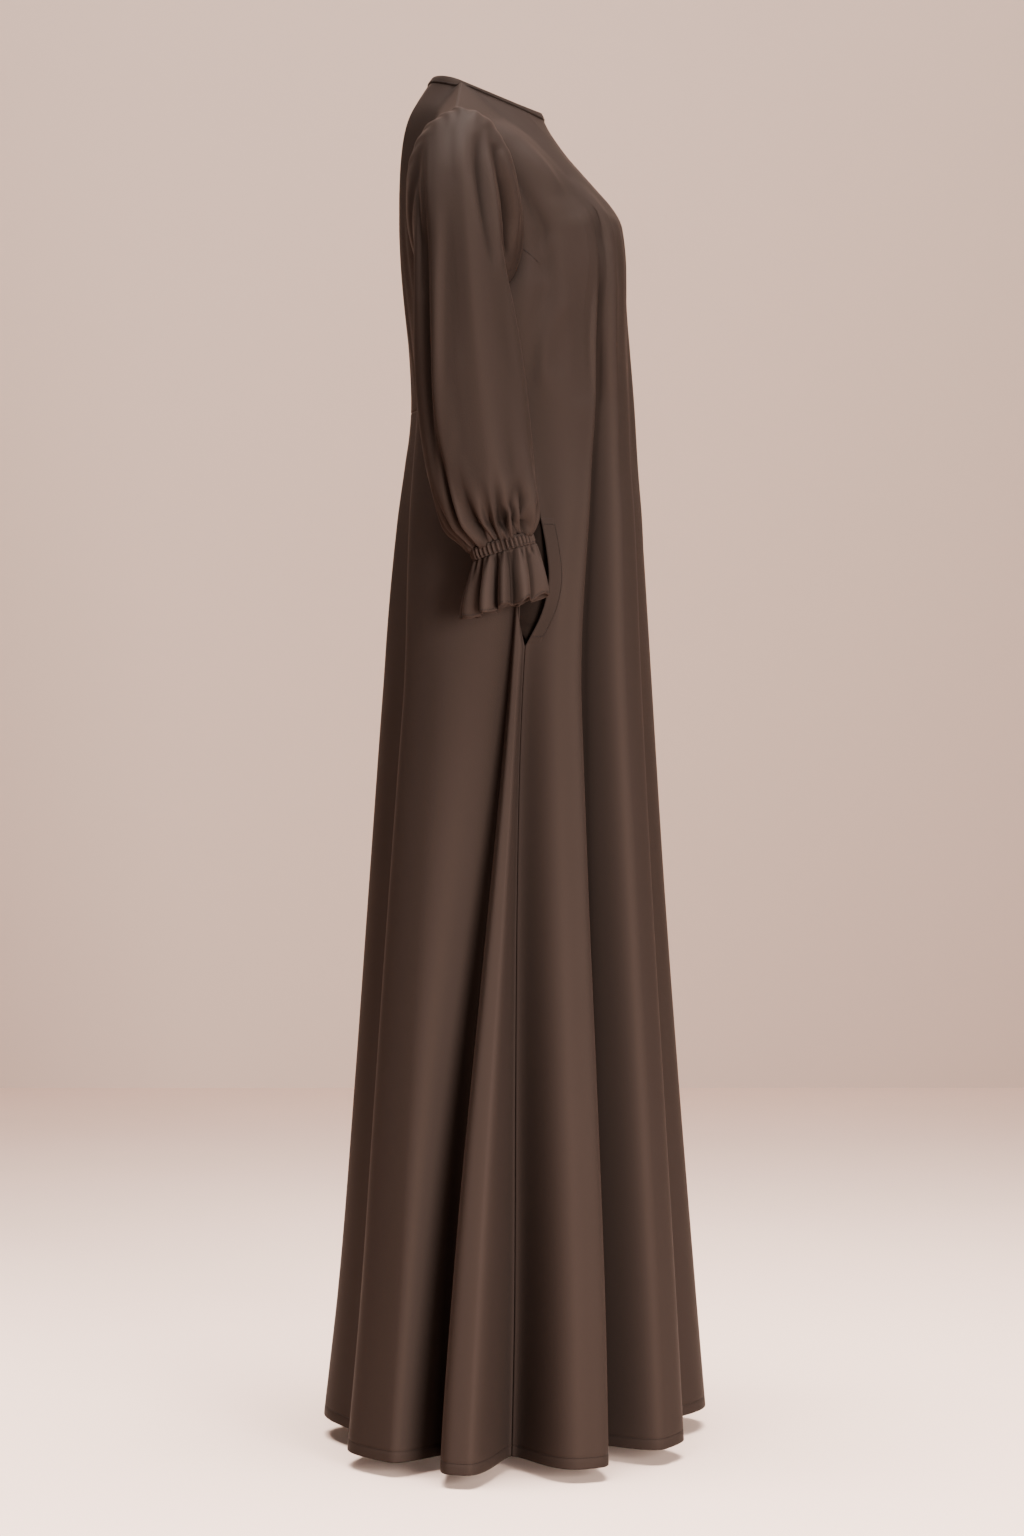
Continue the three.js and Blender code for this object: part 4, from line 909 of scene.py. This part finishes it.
# The wrist casings. A narrow tunnel of crepe is stitched round elastic, which draws it into small
# upright ribs and holds the frill out below it.
CASING_LENGTH, CASING_RIBS, CASING_RIB_DEPTH, CASING_COLUMNS = 11, 40, 1.15, 480
CASING_ROWS, CASING_LAP, CASING_STANDS, CASING_BULGE = 13, 1.8, 0.6, 0.9
WRIST_AHEAD = np.array([0.0, -2 * WRIST_RADIUS, WRIST_LEAN]) / math.hypot(2 * WRIST_RADIUS, WRIST_LEAN)
WRIST_DOWN = np.cross((1.0, 0.0, 0.0), WRIST_AHEAD)


def wrist_rings(distance, radius, back=0):
    """Rings about the right wrist: radius has a row for each distance down from the sleeve."""
    turn = np.arange(radius.shape[1]) / radius.shape[1] * 2 * math.pi
    sideways = np.array([-1.0, 0, 0])
    out = np.cos(turn)[:, None] * sideways + np.sin(turn)[:, None] * WRIST_AHEAD
    middle = WRIST_CENTRE + distance[..., None] * WRIST_DOWN
    middle[..., 1] += back
    return middle + radius[..., None] * out


casing_turn = np.arange(CASING_COLUMNS) / CASING_COLUMNS * 2 * math.pi
casing_share = np.linspace(0, 1, CASING_ROWS)[:, None]
rib = np.cos(CASING_RIBS * casing_turn + 0.5 * np.sin(4 * casing_turn))
rib_depth = CASING_RIB_DEPTH * (1 + 0.3 * np.sin(5 * casing_turn + 1) + 0.2 * np.sin(11 * casing_turn))
casing_radius = (WRIST_RADIUS + rib * rib_depth * (0.75 + 0.25 * np.sin(np.pi * casing_share))
                 + CASING_BULGE * np.sin(np.pi * casing_share) ** 0.5 + CASING_STANDS)
casing_away = ((CASING_LENGTH + CASING_LAP) * casing_share - CASING_LAP
               + 0.25 * np.sin(CASING_RIBS * casing_turn + 1))
casing_points = wrist_rings(casing_away, casing_radius)[:, ::-1]
# the casings' dye is painted lighter than the panels', painted light for the light they catch
CASING_CREPE = crepe_material("casing_crepe", shade=1.14, crest=0.3, hollow=0.9)
for side, turned_over in SIDES.items():
    casing = sewn_piece(f"wrist_casing_{side}", turned_over(casing_points), CASING_CREPE,
                        f"cuff_casing_{side}", closed=True)


# The wrist frills. A short flared ruffle below each casing, gathered at its root by the elastic and
# falling into loose waves, with a narrow rolled hem.
FRILL_LENGTH, FRILL_RADIUS, FRILL_WAVES, FRILL_DEPTH = 58, 43, 10, 7.5
FRILL_ROOT_DEPTH, FRILL_SWAY, FRILL_FALLS_BACK = 1.6, 2, 15
FRILL_TUCKS, FRILL_TUCK_DEPTH, FRILL_STANDS, FRILL_HEM_DIP = 26, 1.2, 0.5, 0.035
FRILL_COLUMNS, FRILL_ROWS = 400, 44
frill_turn = np.arange(FRILL_COLUMNS) / FRILL_COLUMNS * 2 * math.pi
frill_share = np.linspace(0, 1, FRILL_ROWS)[:, None]
frill_root = WRIST_RADIUS + FRILL_STANDS
frill_radius = frill_root + (FRILL_RADIUS - frill_root) * np.sin(frill_share * np.pi / 2)
wave_depth = (FRILL_ROOT_DEPTH + (FRILL_DEPTH - FRILL_ROOT_DEPTH) * frill_share ** 0.6) * (
    1 + 0.3 * np.sin(3 * frill_turn + 2))
wave = np.cos(FRILL_WAVES * frill_turn + 0.9 * np.sin(3 * frill_turn) + 0.5 * np.sin(2 * frill_turn + 1))
frill_radius = (frill_radius + wave_depth * (wave - 0.25 * wave ** 2)
                + FRILL_SWAY * frill_share * np.sin(3 * frill_turn + 1)
                + FRILL_TUCK_DEPTH * np.cos(FRILL_TUCKS * frill_turn + 0.9 * np.sin(4 * frill_turn))
                * (1 - smooth_step(frill_share, 0.02, 0.36 + 0.18 * np.sin(5 * frill_turn))))
frill_dip = FRILL_HEM_DIP * np.cos(FRILL_WAVES * frill_turn + 0.4)
frill_away = CASING_LENGTH + FRILL_LENGTH * frill_share * (1 - frill_dip)
frill_points = wrist_rings(frill_away, frill_radius, FRILL_FALLS_BACK * frill_share)[:, ::-1]
# the frills' dye is painted lighter than the panels', painted light for the light they catch
FRILL_CREPE = crepe_material("frill_crepe", shade=1.12, crest=0.3, hollow=0.8)
for side, turned_over in SIDES.items():
    frill = sewn_piece(f"wrist_frill_{side}", turned_over(frill_points), FRILL_CREPE,
                       f"cuff_frill_{side}", thickness=0.7, closed=True)


# The neck binding. A bias strip of the same crepe is folded over the raw edge of the neck, and
# stitched through close to its lower fold.
BINDING_WIDTH, BINDING_STANDS = 8, 1.3
BINDING_INNER_STANDS, BINDING_OVER = 2.6, 1.7


def neck_line():
    """The neck edge all round, with the ways down the cloth and out of it at each point."""
    columns = SHOULDER_COLUMNS * FINE
    loops = []
    for points in (front_edges, back_edges):
        part = slice(columns, points.shape[1] - columns)
        normal = normals_of(points)
        loops.append((points[0, part], points[2, part] - points[0, part], normal[1, part]))
    (front_line, front_down, front_out), (back_line, back_down, back_out) = loops
    line = np.concatenate([front_line, back_line[1:-1]])
    down = np.concatenate([front_down, back_down[1:-1]])
    out = np.concatenate([front_out, back_out[1:-1]])
    down /= np.linalg.norm(down, axis=1, keepdims=True)
    for _ in range(6):
        down, out = [(np.roll(way, 1, 0) + 2 * way + np.roll(way, -1, 0)) / 4 for way in (down, out)]
    return line, down, out / np.linalg.norm(out, axis=1, keepdims=True)


def binding_points():
    """A grid round the neck: a row for each line of the folded strip, from its outer edge to its inner."""
    line, down, out = neck_line()
    profile = [(BINDING_WIDTH, 0.4), (BINDING_WIDTH - 0.3, 0.9), (BINDING_WIDTH - 1.4, 1.15),
               (BINDING_WIDTH - 2.4, 0.95), (BINDING_WIDTH * 0.5, BINDING_STANDS + 0.2),
               (1.2, BINDING_STANDS)]
    half = (BINDING_STANDS + BINDING_INNER_STANDS) / 2
    inset = (BINDING_INNER_STANDS - BINDING_STANDS) / 2
    for turn in np.linspace(0.15, math.pi - 0.15, 9):
        profile.append((-math.sin(turn) * BINDING_OVER, half * math.cos(turn) - inset))
    profile += [(1.2, -BINDING_INNER_STANDS), (BINDING_WIDTH * 0.6, -BINDING_INNER_STANDS - 0.1),
                (BINDING_WIDTH, -BINDING_INNER_STANDS + 0.2)]
    return np.stack([line + down * fall + out * stands for fall, stands in reversed(profile)])


BINDING_CREPE = crepe_material("binding_crepe", shade=0.95, crest=0.2, grain=0.35)
binding_grid = binding_points()
binding = sewn_piece("neck_binding_strip", binding_grid, BINDING_CREPE, "neck_binding",
                     thickness=0.6, closed=True)


# The pockets. A slanting mouth is left in each side seam, its front edge finished with a stitched
# welt that gapes a little, and a bag of the same crepe, painted dark as shade, hangs inside the front
# panel.
WELT_WIDTH, WELT_STANDS = 14, 0.7
BAG_LOWEST_Z, BAG_WIDTH = -690, 100
BAG_COLUMNS, BAG_MOUTH_COLUMNS = 25, 6
BAG_HOLLOW, BAG_RIM, BAG_INSET, BAG_LEAF_GAP = 13, 5, 2.2, 1.2


def beside_seam(points, side, offsets, rows):
    """Points of a panel at distances from its side seam, row by row, and the directions out of them."""
    normal = normals_of(points)[rows]
    points = points[rows]
    if side == "last":
        points, normal = points[:, ::-1], normal[:, ::-1]
    away = np.cumsum(np.linalg.norm(np.diff(points, axis=1), axis=-1), axis=1)
    away = np.concatenate([np.zeros((len(points), 1)), away], 1)
    taken = [points_at(row, away[n], offsets[n]) for n, row in enumerate(points)]
    out = [points_at(row, away[n], offsets[n]) for n, row in enumerate(normal)]
    return np.array(taken), np.array(out)


def rows_between(high, low):
    """The rows of a whole panel between two heights."""
    heights = np.flatnonzero((LOWER_HEIGHTS <= high + 0.01) & (LOWER_HEIGHTS >= low - 0.01))
    return heights + UPPER_ROWS * FINE


mouth_rows = rows_between(POCKET_MOUTH[0].z, POCKET_MOUTH[-1].z)
bag_rows = rows_between(POCKET_MOUTH[0].z, BAG_LOWEST_Z)
# the welts' dye is painted a little darker, a painted shade
WELT_CREPE = crepe_material("welt_crepe", shade=0.96)
# the bag's dye is painted at about a third, a painted shade for the dark inside of the pocket
BAG_CREPE_PAINTED_SHADE = crepe_material("bag_crepe_painted_shade", shade=0.32)
welt_profile = [(0.0, -1.6), (-0.4, 0.0), (0.2, 0.6), (2.0, WELT_STANDS), (7.0, WELT_STANDS + 0.1),
                (11.8, WELT_STANDS), (13.4, 0.6), (WELT_WIDTH, 0.1)]
welts = {}
for side, edge in (("right", "last"), ("left", "first")):
    offsets = np.tile([fall for fall, _ in welt_profile], (len(mouth_rows), 1))
    welt, out = beside_seam(front_edges, edge, offsets, mouth_rows)
    ends = np.linspace(0, 1, len(mouth_rows))
    lies = np.minimum(smooth_step(ends, 0, 0.06), smooth_step(1 - ends, 0, 0.06))[:, None]
    stands = np.array([stands for _, stands in welt_profile]) * lies - (1 - lies) * 0.6
    welt = welt + out * stands[..., None]
    if side == "left":
        welt = welt[:, ::-1]
    welts[side] = welt
    strip = sewn_piece(f"pocket_welt_strip_{side}", welt, WELT_CREPE, f"pocket_welt_{side}",
                       thickness=0.8, is_inside_out=True)
    offsets = np.tile(np.linspace(0, 1, BAG_COLUMNS) * BAG_WIDTH, (len(bag_rows), 1))
    leaf, out = beside_seam(front_edges, edge, offsets, bag_rows)
    share = (np.arange(len(bag_rows)) / (len(bag_rows) - 1))[:, None]
    across = np.linspace(0, 1, BAG_COLUMNS)[None]
    hollow = (BAG_RIM * (np.sin(np.pi * share) * (1 - across ** 6)) ** 0.4
              + BAG_HOLLOW * np.sin(np.pi * share) * (1 - across))
    outer = leaf - out * BAG_INSET
    inner = leaf - out * (BAG_INSET + BAG_LEAF_GAP + hollow)[..., None]
    back_edge = back_edges[bag_rows, 0 if side == "right" else -1]
    back_out = normals_of(back_edges)[bag_rows, 0 if side == "right" else -1]
    in_mouth = smooth_step(np.sin(np.pi * np.clip(share / share[len(mouth_rows) - 1], 0, 1)), 0, 0.35)
    for n in range(BAG_MOUTH_COLUMNS):
        part = in_mouth * (1 - n / BAG_MOUTH_COLUMNS) ** 2
        at_back = back_edge - back_out * BAG_INSET + (inner[:, n] - inner[:, 0]) * 0.8
        inner[:, n] = inner[:, n] * (1 - part) + at_back * part
    bag = np.concatenate([outer, inner[:, ::-1]], 1)
    if side == "left":
        bag = bag[:, ::-1]
    pouch = sewn_piece(f"pocket_bag_pouch_{side}", bag, BAG_CREPE_PAINTED_SHADE, f"pocket_bag_{side}",
                       thickness=0.7, is_inside_out=True)


# The stitching. Spun polyester thread, painted much darker than the cloth's colour so that its lines show
# as painted shade, runs in one row of lock stitches along the hems, welts, binding and casings, and closes
# the bust darts and the frills' rolled hems; at the darts the stitches overlap into one dark line, a
# painted shade of the seam.
STITCH_PITCH, STITCH_GAP, THREAD_HALF, THREAD_LIFT = 3.0, 0.35, 0.38, 0.1
THREAD_PLIES_PER_M = 1400
# the thread's colours are painted several times darker than the crepe's dye, a painted shade
PAINTED_SHADE_THREAD_DARK, PAINTED_SHADE_THREAD_LIGHT = (0.0025, 0.0016, 0.0013, 1), (0.0075, 0.0048, 0.0040, 1)


def thread_material():
    """Thread painted far darker than the cloth, as painted shade along its stitched lines, with a soft
    sheen and the fine turns of its plies.
    """
    material, tree, output = new_material("thread")
    place = add_node(tree, "ShaderNodeTexCoord").outputs["Object"]
    plies = add_node(tree, "ShaderNodeTexNoise", Vector=place, Scale=float(THREAD_PLIES_PER_M), Detail=1.0)
    colour = mixed(tree, plies.outputs["Fac"], PAINTED_SHADE_THREAD_DARK, PAINTED_SHADE_THREAD_LIGHT)
    bump = add_node(tree, "ShaderNodeBump", Height=plies.outputs["Fac"], Strength=0.5, Distance=0.0001)
    shader = add_node(tree, "ShaderNodeBsdfPrincipled", Base_Color=colour, Roughness=0.42,
                      Normal=bump.outputs[0], Specular_IOR_Level=0.08)
    tree.links.new(shader.outputs[0], output.inputs[0])
    return material


THREAD = thread_material()


def stitch_row(name, line, out, slot, pitch=STITCH_PITCH, gap=STITCH_GAP, closed=False):
    """A joined mesh of stitches laid end to end along a line on the cloth, out being the way off it."""
    line, out = np.array(line, float), np.array(out, float)
    if closed:
        line, out = np.concatenate([line, line[:1]]), np.concatenate([out, out[:1]])
    length = distances_along(line)
    middle = (np.arange(int(length[-1] / pitch)) + 0.5) * pitch
    start, end = [points_at(line, length, middle + way * pitch / 3) for way in (-1, 1)]
    place, up = points_at(line, length, middle), points_at(out, length, middle)
    ahead = (end - start) / np.linalg.norm(end - start, axis=1, keepdims=True)
    up -= ahead * (up * ahead).sum(1, keepdims=True)
    up /= np.linalg.norm(up, axis=1, keepdims=True)
    beside = np.cross(up, ahead)
    stitch = bmesh.new()
    bmesh.ops.create_icosphere(stitch, subdivisions=1, radius=1)
    shape = np.array([vertex.co for vertex in stitch.verts])
    faces = np.array([[vertex.index for vertex in face.verts] for face in stitch.faces])
    stitch.free()
    along, across, lift = [part[:, None, :] for part in (
        ahead * (pitch - gap) / 2, beside * THREAD_HALF, up * THREAD_HALF)]
    points = ((place + up * THREAD_LIFT)[:, None] + shape[:, :1] * along + shape[:, 1:2] * across
              + shape[:, 2:] * lift)
    joined = faces[None] + (np.arange(len(middle)) * len(shape))[:, None, None]
    mesh = bpy.data.meshes.new(name)
    mesh.from_pydata((points.reshape(-1, 3) / 1000).tolist(), [], joined.reshape(-1, 3).tolist())
    mesh.shade_smooth()
    mesh.materials.append(THREAD)
    row = bpy.data.objects.new(name, mesh)
    bpy.context.scene.collection.objects.link(row)
    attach(row, "root")
    return row


def stitch_line(name, grid, row, slot, **fineness):
    """Stitches all round a closed piece, along one line of its grid."""
    stitch_row(name, grid[row], normals_of(grid, True)[row], slot, closed=True, **fineness)


def path_on(points, seen, line, step=2.0):
    """A line drawn on the cloth as it is seen from one side, and the ways off the cloth along it."""
    normal = normals_of(points)
    axes = [1, 2] if seen in ("right", "left") else [0, 2]
    faces_us = (normal @ np.array(SEEN_FROM[seen])).ravel() > 0.2
    cloth, ways = points.reshape(-1, 3)[faces_us], normal.reshape(-1, 3)[faces_us]
    line = np.array(line, float)
    length = distances_along(line)
    drawn = points_at(line, length, np.arange(0, length[-1], step))
    path, out = [], []
    for spot in drawn:
        away = np.linalg.norm(cloth[:, axes] - spot, axis=1)
        near = np.argsort(away)[:4]
        share = 1 / (away[near] + 0.2)
        share /= share.sum()
        point = (cloth[near] * share[:, None]).sum(0)
        point[axes] = spot
        path.append(point)
        out.append((ways[near] * share[:, None]).sum(0))
    return path, out


BUST_DART = [(-69, -166), (-78, -173), (-88.5, -183)]
# stitches near an edge run along the third line of the piece's grid from it
TOP_LINE, FOOT_LINE = 2, -3
for name, points in (("front", front_edges), ("back", back_edges)):
    stitch_row(f"{name}_hem_stitches", points[HEM_ROW, 1:-1], normals_of(points)[HEM_ROW, 1:-1], "crepe")
stitch_line("binding_stitches", binding_grid, FOOT_LINE, "crepe_binding")
for side, grid in welts.items():
    way_off = normals_of(front_edges)[mouth_rows, -5 if side == "right" else 4]
    inner_columns = range(1, grid.shape[1] - 1)[::1 if side == "right" else -1]
    top = [grid[TOP_LINE, n] for n in inner_columns]
    foot = [grid[FOOT_LINE, n] for n in reversed(inner_columns)]
    between_ends = slice(TOP_LINE + 1, FOOT_LINE)
    line = [*top, *grid[between_ends, inner_columns[-1]], *foot]
    out = [*[way_off[TOP_LINE]] * len(top), *way_off[between_ends], *[way_off[FOOT_LINE]] * len(foot)]
    stitch_row(f"welt_stitches_{side}", line, out, "crepe_binding", pitch=2.6, gap=0.4)
    path, out = path_on(front_edges, side, BUST_DART)
    # close overlapping stitches of the dark thread paint the shade of the dart's seam line
    stitch_row(f"bust_dart_seam_shade_line_{side}", path, out, "crepe", pitch=2.0, gap=-0.3)
    for part, row in (("upper", TOP_LINE), ("lower", FOOT_LINE)):
        stitch_line(f"casing_stitches_{part}_{side}", SIDES[side](casing_points), row, "crepe_casing",
                    pitch=2.2, gap=0.4)
    stitch_line(f"frill_stitches_{side}", SIDES[side](frill_points), FOOT_LINE, "crepe_frill", pitch=2.4)
